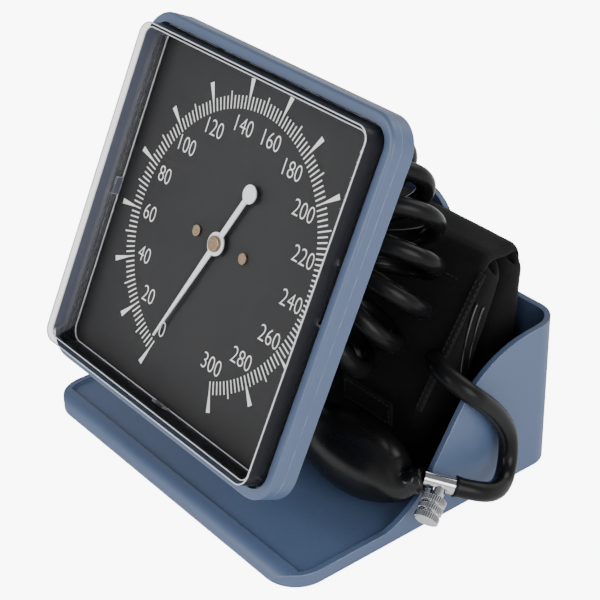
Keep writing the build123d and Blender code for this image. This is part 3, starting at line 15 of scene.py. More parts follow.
import bmesh
import bpy
import numpy as np
from mathutils import Matrix, Vector, noise
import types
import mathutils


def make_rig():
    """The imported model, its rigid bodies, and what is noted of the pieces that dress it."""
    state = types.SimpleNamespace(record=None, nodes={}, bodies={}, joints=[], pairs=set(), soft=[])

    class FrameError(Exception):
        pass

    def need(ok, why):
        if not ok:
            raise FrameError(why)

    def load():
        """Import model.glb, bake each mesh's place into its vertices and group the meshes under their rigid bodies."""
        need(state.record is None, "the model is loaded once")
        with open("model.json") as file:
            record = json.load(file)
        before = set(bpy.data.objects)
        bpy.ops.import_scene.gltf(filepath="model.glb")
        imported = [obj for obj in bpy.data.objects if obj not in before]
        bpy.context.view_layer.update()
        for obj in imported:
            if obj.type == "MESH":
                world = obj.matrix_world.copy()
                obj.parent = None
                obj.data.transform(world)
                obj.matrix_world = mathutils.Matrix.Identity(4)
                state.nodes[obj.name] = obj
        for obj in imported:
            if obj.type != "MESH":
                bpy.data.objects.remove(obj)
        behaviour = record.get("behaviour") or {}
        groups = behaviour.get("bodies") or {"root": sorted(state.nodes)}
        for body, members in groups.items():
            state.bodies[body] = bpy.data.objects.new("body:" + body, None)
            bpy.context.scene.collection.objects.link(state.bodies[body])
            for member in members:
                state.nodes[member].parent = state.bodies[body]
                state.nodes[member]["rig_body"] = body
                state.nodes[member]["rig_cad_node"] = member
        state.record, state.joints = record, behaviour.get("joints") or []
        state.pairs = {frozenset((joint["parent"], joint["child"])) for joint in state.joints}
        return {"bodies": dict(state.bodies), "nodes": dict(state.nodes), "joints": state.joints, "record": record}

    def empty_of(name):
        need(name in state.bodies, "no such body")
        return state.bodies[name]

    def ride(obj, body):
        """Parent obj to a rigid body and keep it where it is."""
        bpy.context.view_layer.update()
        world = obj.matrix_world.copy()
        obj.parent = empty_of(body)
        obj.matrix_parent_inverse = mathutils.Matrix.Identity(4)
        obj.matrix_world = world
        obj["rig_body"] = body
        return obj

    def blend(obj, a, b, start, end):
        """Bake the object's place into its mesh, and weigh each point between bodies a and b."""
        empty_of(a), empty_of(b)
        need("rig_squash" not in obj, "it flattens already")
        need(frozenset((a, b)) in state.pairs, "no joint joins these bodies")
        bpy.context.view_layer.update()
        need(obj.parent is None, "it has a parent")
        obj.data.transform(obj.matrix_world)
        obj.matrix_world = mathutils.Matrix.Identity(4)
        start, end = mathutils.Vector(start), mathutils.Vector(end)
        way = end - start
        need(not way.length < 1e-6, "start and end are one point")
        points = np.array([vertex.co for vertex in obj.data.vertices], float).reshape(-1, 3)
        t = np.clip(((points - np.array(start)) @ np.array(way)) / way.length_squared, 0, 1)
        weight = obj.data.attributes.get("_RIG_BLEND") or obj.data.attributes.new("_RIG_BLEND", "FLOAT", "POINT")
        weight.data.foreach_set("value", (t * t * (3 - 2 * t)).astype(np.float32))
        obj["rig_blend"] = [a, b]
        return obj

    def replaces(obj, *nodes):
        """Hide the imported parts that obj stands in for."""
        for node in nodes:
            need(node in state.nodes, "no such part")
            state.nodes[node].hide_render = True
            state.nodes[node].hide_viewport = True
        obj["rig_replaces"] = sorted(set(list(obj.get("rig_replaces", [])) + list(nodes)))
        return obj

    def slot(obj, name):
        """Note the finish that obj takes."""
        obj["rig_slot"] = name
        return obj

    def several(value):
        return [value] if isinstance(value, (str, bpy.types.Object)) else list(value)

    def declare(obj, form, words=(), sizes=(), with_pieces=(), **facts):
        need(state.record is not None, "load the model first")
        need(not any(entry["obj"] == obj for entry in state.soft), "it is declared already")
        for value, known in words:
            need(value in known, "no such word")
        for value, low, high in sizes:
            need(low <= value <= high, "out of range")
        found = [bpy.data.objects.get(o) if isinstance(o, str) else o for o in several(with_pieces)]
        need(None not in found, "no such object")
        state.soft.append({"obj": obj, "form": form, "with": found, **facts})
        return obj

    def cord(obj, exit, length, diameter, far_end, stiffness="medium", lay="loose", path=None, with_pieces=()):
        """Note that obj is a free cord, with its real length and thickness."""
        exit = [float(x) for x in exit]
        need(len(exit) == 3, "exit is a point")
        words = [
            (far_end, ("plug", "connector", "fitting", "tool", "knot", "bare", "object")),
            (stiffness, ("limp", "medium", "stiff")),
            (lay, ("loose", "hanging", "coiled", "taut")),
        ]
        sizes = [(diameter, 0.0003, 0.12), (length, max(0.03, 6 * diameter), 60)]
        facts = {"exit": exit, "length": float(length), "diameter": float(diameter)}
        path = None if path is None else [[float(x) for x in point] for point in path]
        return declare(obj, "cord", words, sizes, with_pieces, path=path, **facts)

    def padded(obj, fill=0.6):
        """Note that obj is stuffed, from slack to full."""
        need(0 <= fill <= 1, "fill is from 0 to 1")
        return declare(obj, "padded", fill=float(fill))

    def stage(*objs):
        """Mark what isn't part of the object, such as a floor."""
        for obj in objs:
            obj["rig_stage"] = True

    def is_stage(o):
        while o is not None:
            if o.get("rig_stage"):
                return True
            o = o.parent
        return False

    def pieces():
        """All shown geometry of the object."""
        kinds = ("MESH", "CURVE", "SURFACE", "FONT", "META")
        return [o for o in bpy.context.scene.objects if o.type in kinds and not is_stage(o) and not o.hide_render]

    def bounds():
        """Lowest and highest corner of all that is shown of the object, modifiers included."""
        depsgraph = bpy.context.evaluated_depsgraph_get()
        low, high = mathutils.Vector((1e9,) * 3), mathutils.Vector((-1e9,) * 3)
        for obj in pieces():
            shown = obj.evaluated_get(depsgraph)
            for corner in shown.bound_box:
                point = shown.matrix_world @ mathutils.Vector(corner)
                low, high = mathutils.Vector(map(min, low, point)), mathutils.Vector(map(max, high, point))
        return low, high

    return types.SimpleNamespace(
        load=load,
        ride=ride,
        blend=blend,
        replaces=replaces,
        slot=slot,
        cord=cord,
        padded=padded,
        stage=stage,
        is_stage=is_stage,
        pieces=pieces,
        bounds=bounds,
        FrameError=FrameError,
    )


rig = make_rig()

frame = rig.load()
CAD_BOX = [list(corner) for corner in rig.bounds()]

SIZE_FILE = "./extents.json"
TURN = 2 * math.pi

Colour = tuple[float, float, float]
Triple = tuple[float, float, float]
Outline = list[tuple[float, float]]

log = logging.getLogger("gauge")


# Nodes and finishes


class NodeBook:
    """Adds nodes to one tree, with their settings, values and links in one call."""

    def __init__(self, tree: bpy.types.NodeTree) -> None:
        """Keep the tree that the nodes go into."""
        self.tree = tree

    def add(self, kind: str, values: dict | None = None, **settings: object) -> bpy.types.Node:
        """Add one node.

        Args:
            kind: Blender's name of the node type.
            values: What each input gets, by name or number: a value, or a socket to link.
            settings: Properties of the node itself.

        Returns:
            The new node.
        """
        node = self.tree.nodes.new(kind)
        for name, setting in settings.items():
            setattr(node, name, setting)
        for name, value in (values or {}).items():
            if isinstance(value, bpy.types.NodeSocket):
                self.tree.links.new(value, node.inputs[name])
            else:
                node.inputs[name].default_value = value
        return node

    def math(self, operation: str, a: object, b: object = 0.0) -> bpy.types.NodeSocket:
        """Work out one number from two.

        Args:
            operation: Name of the operation.
            a: First value or socket.
            b: Second value or socket.

        Returns:
            The socket with the result.
        """
        return self.add("ShaderNodeMath", {0: a, 1: b}, operation=operation).outputs[0]

    def spread(self, value: object, span: tuple, onto: tuple = (0.0, 1.0)) -> bpy.types.NodeSocket:
        """Map one span of values onto another, held at its ends.

        Args:
            value: Value or socket to map.
            span: Lowest and highest value that comes in.
            onto: What these two become.

        Returns:
            The socket with the mapped value.
        """
        inputs = {0: value, 1: span[0], 2: span[1], 3: onto[0], 4: onto[1]}
        return self.add("ShaderNodeMapRange", inputs).outputs[0]

    def mix(self, share: object, first: object, second: object) -> bpy.types.NodeSocket:
        """Mix two colours.

        Args:
            share: How much of the second colour.
            first: Colour or socket.
            second: Colour or socket.

        Returns:
            The socket with the mixed colour.
        """
        inputs = {0: share, 6: opaque(first), 7: opaque(second)}
        return self.add("ShaderNodeMix", inputs, data_type="RGBA").outputs[2]

    def noise(self, scale: object, detail: float = 3.0, where: object = None) -> bpy.types.NodeSocket:
        """Smooth noise over the surface.

        Args:
            scale: Waves in each metre, as a value or socket.
            detail: Number of finer layers on top.
            where: Socket with the place, or None for the object's own coordinates.

        Returns:
            The socket with the noise, about 0 to 1.
        """
        inputs = {"Vector": where or self.place(), "Scale": scale, "Detail": detail}
        return self.add("ShaderNodeTexNoise", inputs).outputs[0]

    def place(self) -> bpy.types.NodeSocket:
        """Coordinates of the surface in the object's own frame, in metres."""
        return self.add("ShaderNodeTexCoord").outputs["Object"]


def opaque(colour: object) -> object:
    """Give a plain colour its fourth number, and leave a socket as it is."""
    return (*colour, 1.0) if isinstance(colour, tuple) and len(colour) == 3 else colour


class Effect:
    """A node group that puts out masks, heights or normals, built once and used by name."""

    made: dict[str, bpy.types.NodeTree] = {}

    @classmethod
    def tree(cls, name: str, sockets: dict, fill: Callable) -> bpy.types.NodeTree:
        """Build the group the first time it is asked for.

        Args:
            name: The group's name.
            sockets: Input names with their first values, and output names with their kinds.
            fill: Function that takes the book and the input node and returns the outputs.

        Returns:
            The group's tree.
        """
        if name in cls.made:
            return cls.made[name]
        tree = bpy.data.node_groups.new(name, "ShaderNodeTree")
        for socket, value in sockets["in"].items():
            made = tree.interface.new_socket(socket, in_out="INPUT", socket_type="NodeSocketFloat")
            made.default_value = value
        for socket, kind in sockets["out"].items():
            tree.interface.new_socket(socket, in_out="OUTPUT", socket_type=kind)
        book = NodeBook(tree)
        inputs = book.add("NodeGroupInput")
        results = fill(book, inputs)
        book.add("NodeGroupOutput", results)
        cls.made[name] = tree
        return tree

    @classmethod
    def use(cls, book: NodeBook, tree: bpy.types.NodeTree, **values: float) -> bpy.types.Node:
        """Place a group in a material.

        Args:
            book: The material's nodes.
            tree: The group.
            values: Its inputs for this material.

        Returns:
            The group node.
        """
        named = {name.replace("_", " "): value for name, value in values.items()}
        return book.add("ShaderNodeGroup", named, node_tree=tree)


def edge_wear_and_highlight() -> bpy.types.NodeTree:
    """Group with a mask of rubbed edges, which also places painted edge highlights, and the normal of a slightly
    rounded edge.
    """

    def fill(book: NodeBook, inputs: bpy.types.Node) -> dict:
        """Compare the rounded normal with the surface's own.

        Args:
            book: The group's nodes.
            inputs: The group's input node.

        Returns:
            What each output gets.
        """
        soft = book.add("ShaderNodeBevel", {"Radius": inputs.outputs["Radius"]}, samples=6)
        own = book.add("ShaderNodeNewGeometry").outputs["Normal"]
        dot = book.add("ShaderNodeVectorMath", {0: soft.outputs[0], 1: own}, operation="DOT_PRODUCT")
        bend = book.math("SUBTRACT", 1.0, dot.outputs["Value"])
        edge = book.spread(bend, (0.01, 0.16))
        patchy = book.spread(book.noise(260.0, 4.0), (0.35, 0.65), (0.25, 1.0))
        return {"Mask": book.math("MULTIPLY", edge, patchy), "Normal": soft.outputs[0]}

    # The mask serves both rubbed wear and painted edge highlights
    sockets = {"in": {"Radius": 0.0006}, "out": {"Mask": "NodeSocketFloat", "Normal": "NodeSocketVector"}}
    return Effect.tree("edge wear", sockets, fill)


def moulded_grain() -> bpy.types.NodeTree:
    """Group with the fine height of moulded plastic and a broad mottling mask."""

    def fill(book: NodeBook, inputs: bpy.types.Node) -> dict:
        """Layer a fine noise on a broader one.

        Args:
            book: The group's nodes.
            inputs: The group's input node.

        Returns:
            What each output gets.
        """
        fine = book.noise(inputs.outputs["Scale"], 2.0)
        broad = book.noise(42.0, 3.0)
        return {"Height": fine, "Mottle": book.spread(broad, (0.3, 0.7))}

    sockets = {"in": {"Scale": 2400.0}, "out": {"Height": "NodeSocketFloat", "Mottle": "NodeSocketFloat"}}
    return Effect.tree("moulded grain", sockets, fill)


def weave() -> bpy.types.NodeTree:
    """Group with the height of a plain weave, read from places on the cloth."""

    def fill(book: NodeBook, inputs: bpy.types.Node) -> dict:
        """Cross two sets of threads, each over and under the other.

        Args:
            book: The group's nodes.
            inputs: The group's input node.

        Returns:
            What each output gets.
        """
        parts = book.add("ShaderNodeSeparateXYZ", {0: book.place()})
        x, y, z = parts.outputs
        across = book.math("MULTIPLY", book.math("ADD", x, y), inputs.outputs["Threads"])
        down = book.math("ADD", z, book.math("MULTIPLY", y, 0.3))
        along = book.math("MULTIPLY", down, inputs.outputs["Threads"])
        warp = book.math("ABSOLUTE", book.math("SINE", book.math("MULTIPLY", across, math.pi)))
        weft = book.math("ABSOLUTE", book.math("SINE", book.math("MULTIPLY", along, math.pi)))
        crossing = book.math("ADD", book.math("FLOOR", across), book.math("FLOOR", along))
        over = book.math("ABSOLUTE", book.math("MODULO", crossing, 2.0))
        top = book.math("MULTIPLY", warp, over)
        under = book.math("MULTIPLY", weft, book.math("SUBTRACT", 1.0, over))
        height = book.math("ADD", top, under)
        fuzz = book.math("MULTIPLY", book.noise(3800.0, 2.0), 0.35)
        return {"Height": book.math("ADD", height, fuzz), "Thread": height}

    sockets = {"in": {"Threads": 1900.0}, "out": {"Height": "NodeSocketFloat", "Thread": "NodeSocketFloat"}}
    return Effect.tree("weave", sockets, fill)


def dust() -> bpy.types.NodeTree:
    """Group with a mask of fine dust on faces that look up."""

    def fill(book: NodeBook, inputs: bpy.types.Node) -> dict:
        """Keep the noise where the surface looks up.

        Args:
            book: The group's nodes.
            inputs: The group's input node.

        Returns:
            What each output gets.
        """
        own = book.add("ShaderNodeNewGeometry").outputs["Normal"]
        up = book.add("ShaderNodeSeparateXYZ", {0: own}).outputs["Z"]
        level = book.spread(up, (0.1, 0.9))
        specks = book.spread(book.noise(900.0, 5.0), (0.5, 0.8))
        amount = book.math("MULTIPLY", level, specks)
        return {"Mask": book.math("MULTIPLY", amount, inputs.outputs["Amount"])}

    sockets = {"in": {"Amount": 0.2}, "out": {"Mask": "NodeSocketFloat"}}
    return Effect.tree("dust", sockets, fill)


# How level a face of the cover is with the dial, from fully wall to fully front
WALL_LEVEL = (0.35, 0.9)
# Middle of the walls' round corners from the head's middle, and how far past it the skins part
CORNER_MIDDLE = 0.0678
SKINS_PART = (0.0047, 0.0053)


def cover_walls() -> bpy.types.NodeTree:
    """Group with masks of the inner and the outer skin of the walls that stand up from the dial, where the cover's
    painted haze and painted shade are laid.
    """

    def fill(book: NodeBook, inputs: bpy.types.Node) -> dict:
        """Find the walls by their slope to the dial, and each skin by its place around the head.

        Args:
            book: The group's nodes.
            inputs: The group's input node, which is not used.

        Returns:
            What each output gets.
        """
        own = book.add("ShaderNodeNewGeometry").outputs["True Normal"]
        out = tuple(HEAD.way_out())
        dot = book.add("ShaderNodeVectorMath", {0: own, 1: out}, operation="DOT_PRODUCT")
        level = book.math("ABSOLUTE", dot.outputs["Value"])
        wall = book.spread(level, WALL_LEVEL, (1.0, 0.0))
        middle = tuple(HEAD.place(0.0, 0.0, 0.0))
        away = book.add("ShaderNodeVectorMath", {0: book.place(), 1: middle}, operation="SUBTRACT")
        squares = []
        for way in ((1.0, 0.0, 0.0), tuple(HEAD.way_up())):
            reach = book.add("ShaderNodeVectorMath", {0: away.outputs[0], 1: way}, operation="DOT_PRODUCT")
            past = book.math("SUBTRACT", book.math("ABSOLUTE", reach.outputs["Value"]), CORNER_MIDDLE)
            past = book.math("MAXIMUM", past, 0.0)
            squares.append(book.math("MULTIPLY", past, past))
        depth = book.math("SQRT", book.math("ADD", *squares))
        outer = book.math("MULTIPLY", wall, book.spread(depth, SKINS_PART))
        return {"Inner": book.math("SUBTRACT", wall, outer), "Outer": outer}

    sockets = {"in": {}, "out": {"Inner": "NodeSocketFloat", "Outer": "NodeSocketFloat"}}
    return Effect.tree("cover walls", sockets, fill)


def blank_material(name: str, **sockets: object) -> tuple:
    """Start a material with one shader.

    Args:
        name: The material's name.
        sockets: Uniform values for the shader's own inputs, with _ for each space.

    Returns:
        The material, its book and the shader node.
    """
    material = bpy.data.materials.new(name)
    material.use_nodes = True
    book = NodeBook(material.node_tree)
    shader = material.node_tree.nodes["Principled BSDF"]
    for socket, value in sockets.items():
        shader.inputs[socket.replace("_", " ")].default_value = value
    return material, book, shader


def feed(book: NodeBook, shader: bpy.types.Node, **sockets: bpy.types.NodeSocket) -> None:
    """Link sockets to the shader's inputs, with _ for each space.

    Args:
        book: The material's nodes.
        shader: The shader node.
        sockets: What feeds each input.
    """
    for socket, value in sockets.items():
        book.tree.links.new(value, shader.inputs[socket.replace("_", " ")])


def bump(book: NodeBook, height: object, depth: float, normal: object = None) -> bpy.types.NodeSocket:
    """Turn a height into a normal.

    Args:
        book: The material's nodes.
        height: Socket with the height, 0 to 1.
        depth: What a height of 1 is, in metres.
        normal: Socket with the normal to start from, or None.

    Returns:
        The socket with the normal.
    """
    inputs = {"Height": height, "Distance": depth, "Strength": 1.0}
    if normal is not None:
        inputs["Normal"] = normal
    return book.add("ShaderNodeBump", inputs).outputs[0]


@dataclass(frozen=True)
class MouldedPlastic:
    """Fine-grained moulded plastic with lighter rubbed edges, partly wear and partly a painted highlight, and a little
    dust.
    """

    name: str
    colour: Colour
    mottle: Colour
    worn_and_highlit: Colour
    roughness: float = 0.38
    grain: float = 2400.0
    relief: float = 0.000012
    edge: float = 0.0006
    dust_amount: float = 0.25
    shine: float = 0.5

    def build(self) -> bpy.types.Material:
        """Make the material.

        Returns:
            The material.
        """
        material, book, shader = blank_material(self.name, Specular_IOR_Level=self.shine)
        grain = Effect.use(book, moulded_grain(), Scale=self.grain)
        wear_and_highlight = Effect.use(book, edge_wear_and_highlight(), Radius=self.edge)
        dusty = Effect.use(book, dust(), Amount=self.dust_amount)
        colour = book.mix(grain.outputs["Mottle"], self.colour, self.mottle)
        # Edges are lightened: partly rubbed wear, partly a painted highlight where edges catch light
        colour = book.mix(wear_and_highlight.outputs["Mask"], colour, self.worn_and_highlit)
        colour = book.mix(dusty.outputs["Mask"], colour, (0.55, 0.56, 0.58))
        low, high = self.roughness - 0.05, self.roughness + 0.08
        rough = book.spread(grain.outputs["Mottle"], (0.0, 1.0), (low, high))
        rough = book.math("ADD", rough, book.math("MULTIPLY", dusty.outputs["Mask"], 0.3))
        normal = bump(book, grain.outputs["Height"], self.relief, wear_and_highlight.outputs["Normal"])
        feed(book, shader, Base_Color=colour, Roughness=rough, Normal=normal)
        return material


@dataclass(frozen=True)
class Rubber:
    """Dark rubber or soft vinyl with a broad sheen, fine skin and dust."""

    name: str
    colour: Colour
    bloom: Colour
    roughness: float = 0.35
    skin: float = 1500.0
    relief: float = 0.00001
    dust_amount: float = 0.3
    shine: float = 0.34

    def build(self) -> bpy.types.Material:
        """Make the material.

        Returns:
            The material.
        """
        material, book, shader = blank_material(self.name, Specular_IOR_Level=self.shine)
        grain = Effect.use(book, moulded_grain(), Scale=self.skin)
        dusty = Effect.use(book, dust(), Amount=self.dust_amount)
        colour = book.mix(grain.outputs["Mottle"], self.colour, self.bloom)
        colour = book.mix(dusty.outputs["Mask"], colour, (0.06, 0.06, 0.062))
        low, high = self.roughness - 0.04, self.roughness + 0.1
        rough = book.spread(grain.outputs["Mottle"], (0.0, 1.0), (low, high))
        rough = book.math("ADD", rough, book.math("MULTIPLY", dusty.outputs["Mask"], 0.35))
        normal = bump(book, grain.outputs["Height"], self.relief)
        feed(book, shader, Base_Color=colour, Roughness=rough, Normal=normal)
        return material


@dataclass(frozen=True)
class Fabric:
    """Plain woven cloth with a soft sheen."""

    name: str
    colour: Colour
    thread: Colour
    threads: float = 1900.0
    relief: float = 0.00007
    roughness: float = 0.82
    sheen: float = 0.03
    shine: float = 0.16

    def build(self) -> bpy.types.Material:
        """Make the material.

        Returns:
            The material.
        """
        material, book, shader = blank_material(
            self.name, Sheen_Weight=self.sheen, Sheen_Roughness=0.45, Specular_IOR_Level=self.shine
        )
        cloth = Effect.use(book, weave(), Threads=self.threads)
        dusty = Effect.use(book, dust(), Amount=0.25)
        mottle = book.spread(book.noise(60.0, 4.0), (0.3, 0.7), (0.0, 0.5))
        colour = book.mix(cloth.outputs["Thread"], self.colour, self.thread)
        colour = book.mix(mottle, colour, self.colour)
        colour = book.mix(dusty.outputs["Mask"], colour, (0.03, 0.03, 0.032))
        low, high = self.roughness - 0.12, self.roughness + 0.08
        rough = book.spread(cloth.outputs["Thread"], (0.0, 1.0), (high, low))
        normal = bump(book, cloth.outputs["Height"], self.relief)
        feed(book, shader, Base_Color=colour, Roughness=rough, Normal=normal)
        return material


@dataclass(frozen=True)
class Metal:
    """Bright or dull metal with fine marks and softer edges."""

    name: str
    colour: Colour
    stain: Colour
    roughness: float = 0.18
    marks: float = 1400.0
    relief: float = 0.000006
    edge: float = 0.0002

    def build(self) -> bpy.types.Material:
        """Make the material.

        Returns:
            The material.
        """
        material, book, shader = blank_material(self.name, Metallic=1.0)
        grain = Effect.use(book, moulded_grain(), Scale=self.marks)
        wear_and_highlight = Effect.use(book, edge_wear_and_highlight(), Radius=self.edge)
        colour = book.mix(grain.outputs["Mottle"], self.colour, self.stain)
        low, high = self.roughness * 0.6, self.roughness * 1.5
        rough = book.spread(grain.outputs["Height"], (0.3, 0.7), (low, high))
        normal = bump(book, grain.outputs["Height"], self.relief, wear_and_highlight.outputs["Normal"])
        feed(book, shader, Base_Color=colour, Roughness=rough, Normal=normal)
        return material


@dataclass(frozen=True)
class ClearPlastic:
    """Clear moulded cover: see-through in front, its walls painted with a milky haze of scattered light inside and a
    dark shade outside.
    """

    name: str
    mirror: Colour
    # Painted milky haze on the walls' inner skin, standing in for light scattered in the clear plastic
    inner_painted_haze: Colour
    # Colour of the painted highlight along the cover's edges
    edge_painted_highlight: Colour
    roughness: float = 0.02
    wall_roughness: float = 0.3
    # Painted dark shade on the walls' outer skin, standing in for the dark dial seen through the wall
    outer_painted_shade: Colour = (0.008, 0.008, 0.01)
    inner_haze_cover: float = 0.99
    outer_shade_cover: float = 0.8
    shine: float = 0.15
    edge_highlight_cover: float = 0.6
    edge: float = 0.0008

    def build(self) -> bpy.types.Material:
        """Make the material, which reflects more towards a grazing view and else lets light by.

        Returns:
            The material.
        """
        material, book, shader = blank_material(self.name, Specular_IOR_Level=self.shine)
        walls = Effect.use(book, cover_walls())
        inner, outer = walls.outputs["Inner"], walls.outputs["Outer"]
        wall = book.math("MAXIMUM", inner, outer)
        edge = Effect.use(book, edge_wear_and_highlight(), Radius=self.edge).outputs["Mask"]
        facing = book.add("ShaderNodeLayerWeight", {"Blend": 0.5}).outputs["Facing"]
        grazing = book.math("POWER", facing, 5.0)
        # Its mirror image is kept for the eye and for slanting views, since more of it is only noise
        eye = book.add("ShaderNodeLightPath").outputs["Is Camera Ray"]
        sheen = book.math("MULTIPLY", book.spread(grazing, (0.01, 1.0), (0.0, 0.8)), eye)
        # The inner skin is covered by the painted haze, the outer skin by the painted shade
        haze = book.math("MULTIPLY", inner, self.inner_haze_cover)
        haze = book.math("MAXIMUM", haze, book.math("MULTIPLY", outer, self.outer_shade_cover))
        # Painted highlight on the cover's edges: a pale milky colour over part of their see-through
        rim = book.math("MULTIPLY", edge, self.edge_highlight_cover)
        cover = book.math("MAXIMUM", sheen, book.math("MAXIMUM", haze, rim))
        rubbed = book.spread(book.noise(180.0, 6.0), (0.5, 0.75), (self.roughness, self.roughness + 0.02))
        blurred = book.math("MULTIPLY", wall, self.wall_roughness)
        rough = book.math("MAXIMUM", rubbed, blurred)
        # Inner skin gets the painted milky haze, outer skin the painted dark shade
        colour = book.mix(outer, book.mix(inner, self.mirror, self.inner_painted_haze), self.outer_painted_shade)
        # Painted highlight along the edges
        colour = book.mix(edge, colour, self.edge_painted_highlight)
        milky = book.math("MAXIMUM", wall, edge)
        feed(
            book, shader, Base_Color=colour, Roughness=rough, Alpha=cover,
            Metallic=book.math("SUBTRACT", 1.0, milky),
        )
        return material


class Finishes:
    """Every material of the object, each built once."""

    def __init__(self) -> None:
        """Build all the materials."""
        # The blue's pale edge colour is partly wear and partly a painted highlight along its rims
        self.blue = MouldedPlastic(
            "blue plastic", (0.056, 0.086, 0.16), (0.06, 0.092, 0.17), (0.24, 0.3, 0.41),
            0.42, 3000.0, 0.0000004, 0.0007, 0.025,
        ).build()
        self.foot = Rubber("foot rubber", (0.014, 0.014, 0.015), (0.022, 0.022, 0.023), 0.6).build()
        self.dial = MouldedPlastic(
            "dial paint", (0.027, 0.027, 0.028), (0.031, 0.031, 0.032), (0.06, 0.06, 0.06), 0.55,
            900.0, 0.0, 0.0002, 0.0, 0.12,
        ).build()
        self.print = MouldedPlastic(
            "dial print", (0.78, 0.78, 0.77), (0.74, 0.74, 0.73), (0.82, 0.82, 0.82), 0.55,
            3200.0, 0.0000005, 0.0001, 0.0,
        ).build()
        self.pointer = MouldedPlastic(
            "pointer enamel", (0.76, 0.79, 0.83), (0.72, 0.75, 0.79), (0.85, 0.86, 0.88), 0.35,
            2600.0, 0.000001, 0.0002, 0.0,
        ).build()
        self.dark = MouldedPlastic(
            "dark plastic", (0.02, 0.02, 0.021), (0.028, 0.028, 0.029), (0.09, 0.09, 0.09),
        ).build()
        # The cover's walls are painted: a milky haze inside, a dark shade outside, and pale painted highlights on its
        # edges
        self.clear = ClearPlastic(
            "clear plastic", (0.97, 0.97, 0.98), (0.1, 0.108, 0.145), (0.85, 0.86, 0.9),
        ).build()
        # Pale glossy beads on the cover's edges: painted highlights standing in for the glints of its clear edges
        self.rim = MouldedPlastic(
            "painted highlight bead", (0.62, 0.63, 0.67), (0.56, 0.57, 0.61), (0.8, 0.8, 0.82), 0.16,
            900.0, 0.0, 0.0002, 0.0, 0.8,
        ).build()
        self.piping = Rubber(
            "coated piping", (0.012, 0.012, 0.013), (0.018, 0.018, 0.019), 0.2, 900.0, 0.0, 0.0, 0.7
        ).build()
        self.chrome = Metal("chrome", (0.62, 0.62, 0.63), (0.54, 0.54, 0.55), 0.1, relief=0.0000005).build()
        self.steel = Metal("zinc steel", (0.62, 0.63, 0.64), (0.5, 0.5, 0.52), 0.34).build()
        self.brass = Metal("brass", (0.62, 0.44, 0.24), (0.5, 0.35, 0.2), 0.32).build()
        self.aged = Metal("aged brass", (0.3, 0.22, 0.15), (0.24, 0.17, 0.11), 0.36).build()
        self.bronze = Metal("spring bronze", (0.55, 0.33, 0.18), (0.45, 0.26, 0.15), 0.3).build()
        self.hose = Rubber(
            "hose rubber", (0.005, 0.005, 0.0055), (0.007, 0.007, 0.0075), 0.25, 900.0, 0.000002, 0.03, 0.13,
        ).build()
        self.bulb = Rubber(
            "bulb rubber", (0.004, 0.004, 0.0045), (0.007, 0.007, 0.0075), 0.26, 1100.0, 0.000002, 0.04, 0.3,
        ).build()
        self.cloth = Fabric("cuff cloth", (0.0045, 0.0045, 0.005), (0.009, 0.009, 0.0095)).build()
        self.tape = Fabric("binding tape", (0.008, 0.008, 0.0085), (0.022, 0.022, 0.023), 1300.0).build()
        self.thread = Fabric("sewing thread", (0.02, 0.02, 0.021), (0.045, 0.045, 0.047), 3600.0).build()
        self.pile = Fabric(
            "fastener pile", (0.006, 0.006, 0.0065), (0.016, 0.016, 0.016), 1100.0, 0.0002,
        ).build()


# Meshes


def piece_from(name: str, points: Sequence, faces: Sequence, smooth: bool = True) -> bpy.types.Object:
    """Make a mesh object from points and faces.

    Args:
        name: The piece's name.
        points: Its points, in the frame.
        faces: Its faces, as lists of point numbers.
        smooth: Whether its faces are shaded smooth.

    Returns:
        The new object, in the scene.
    """
    mesh = bpy.data.meshes.new(name)
    mesh.from_pydata([tuple(p) for p in points], [], [tuple(f) for f in faces])
    work = bmesh.new()
    work.from_mesh(mesh)
    bmesh.ops.remove_doubles(work, verts=work.verts, dist=1e-6)
    bmesh.ops.dissolve_degenerate(work, edges=work.edges, dist=1e-7)
    bmesh.ops.recalc_face_normals(work, faces=work.faces)
    work.to_mesh(mesh)
    work.free()
    if smooth:
        mesh.shade_smooth()
    made = bpy.data.objects.new(name, mesh)
    bpy.context.scene.collection.objects.link(made)
    return made


def dress(piece: bpy.types.Object, material: bpy.types.Material, slot: str) -> bpy.types.Object:
    """Give a new piece its finish.

    Args:
        piece: The piece.
        material: Its material.
        slot: The record's slot that it takes its finish from.

    Returns:
        The piece.
    """
    piece.data.materials.append(material)
    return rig.slot(piece, slot)


def dress_nodes(material: bpy.types.Material, *nodes: str) -> None:
    """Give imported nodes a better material.

    Args:
        material: The material.
        nodes: The nodes' names.
    """
    for node in nodes:
        for slot in frame["nodes"][node].material_slots:
            slot.material = material
    log.info("dressed %s with %s", ", ".join(nodes), material.name)


def read_nurbs(points: Sequence[Vector], steps: int = 6) -> list[Vector]:
    """Read the line of a smooth spline.

    Args:
        points: Its control points.
        steps: How many short steps each span is read in.

    Returns:
        Points along the line, close together.
    """
    data = bpy.data.curves.new("route", "CURVE")
    data.dimensions = "3D"
    data.resolution_u = steps
    spline = data.splines.new("NURBS")
    spline.points.add(len(points) - 1)
    for control, point in zip(spline.points, points):
        control.co = (*point, 1.0)
    spline.order_u = 3
    spline.use_endpoint_u = True
    holder = bpy.data.objects.new("route", data)
    mesh = bpy.data.meshes.new_from_object(holder)
    line = [vertex.co.copy() for vertex in mesh.vertices]
    bpy.data.objects.remove(holder)
    bpy.data.curves.remove(data)
    bpy.data.meshes.remove(mesh)
    return line


def line_length(line: Sequence[Vector]) -> float:
    """Length of a line of points."""
    return sum((b - a).length for a, b in zip(line, line[1:]))


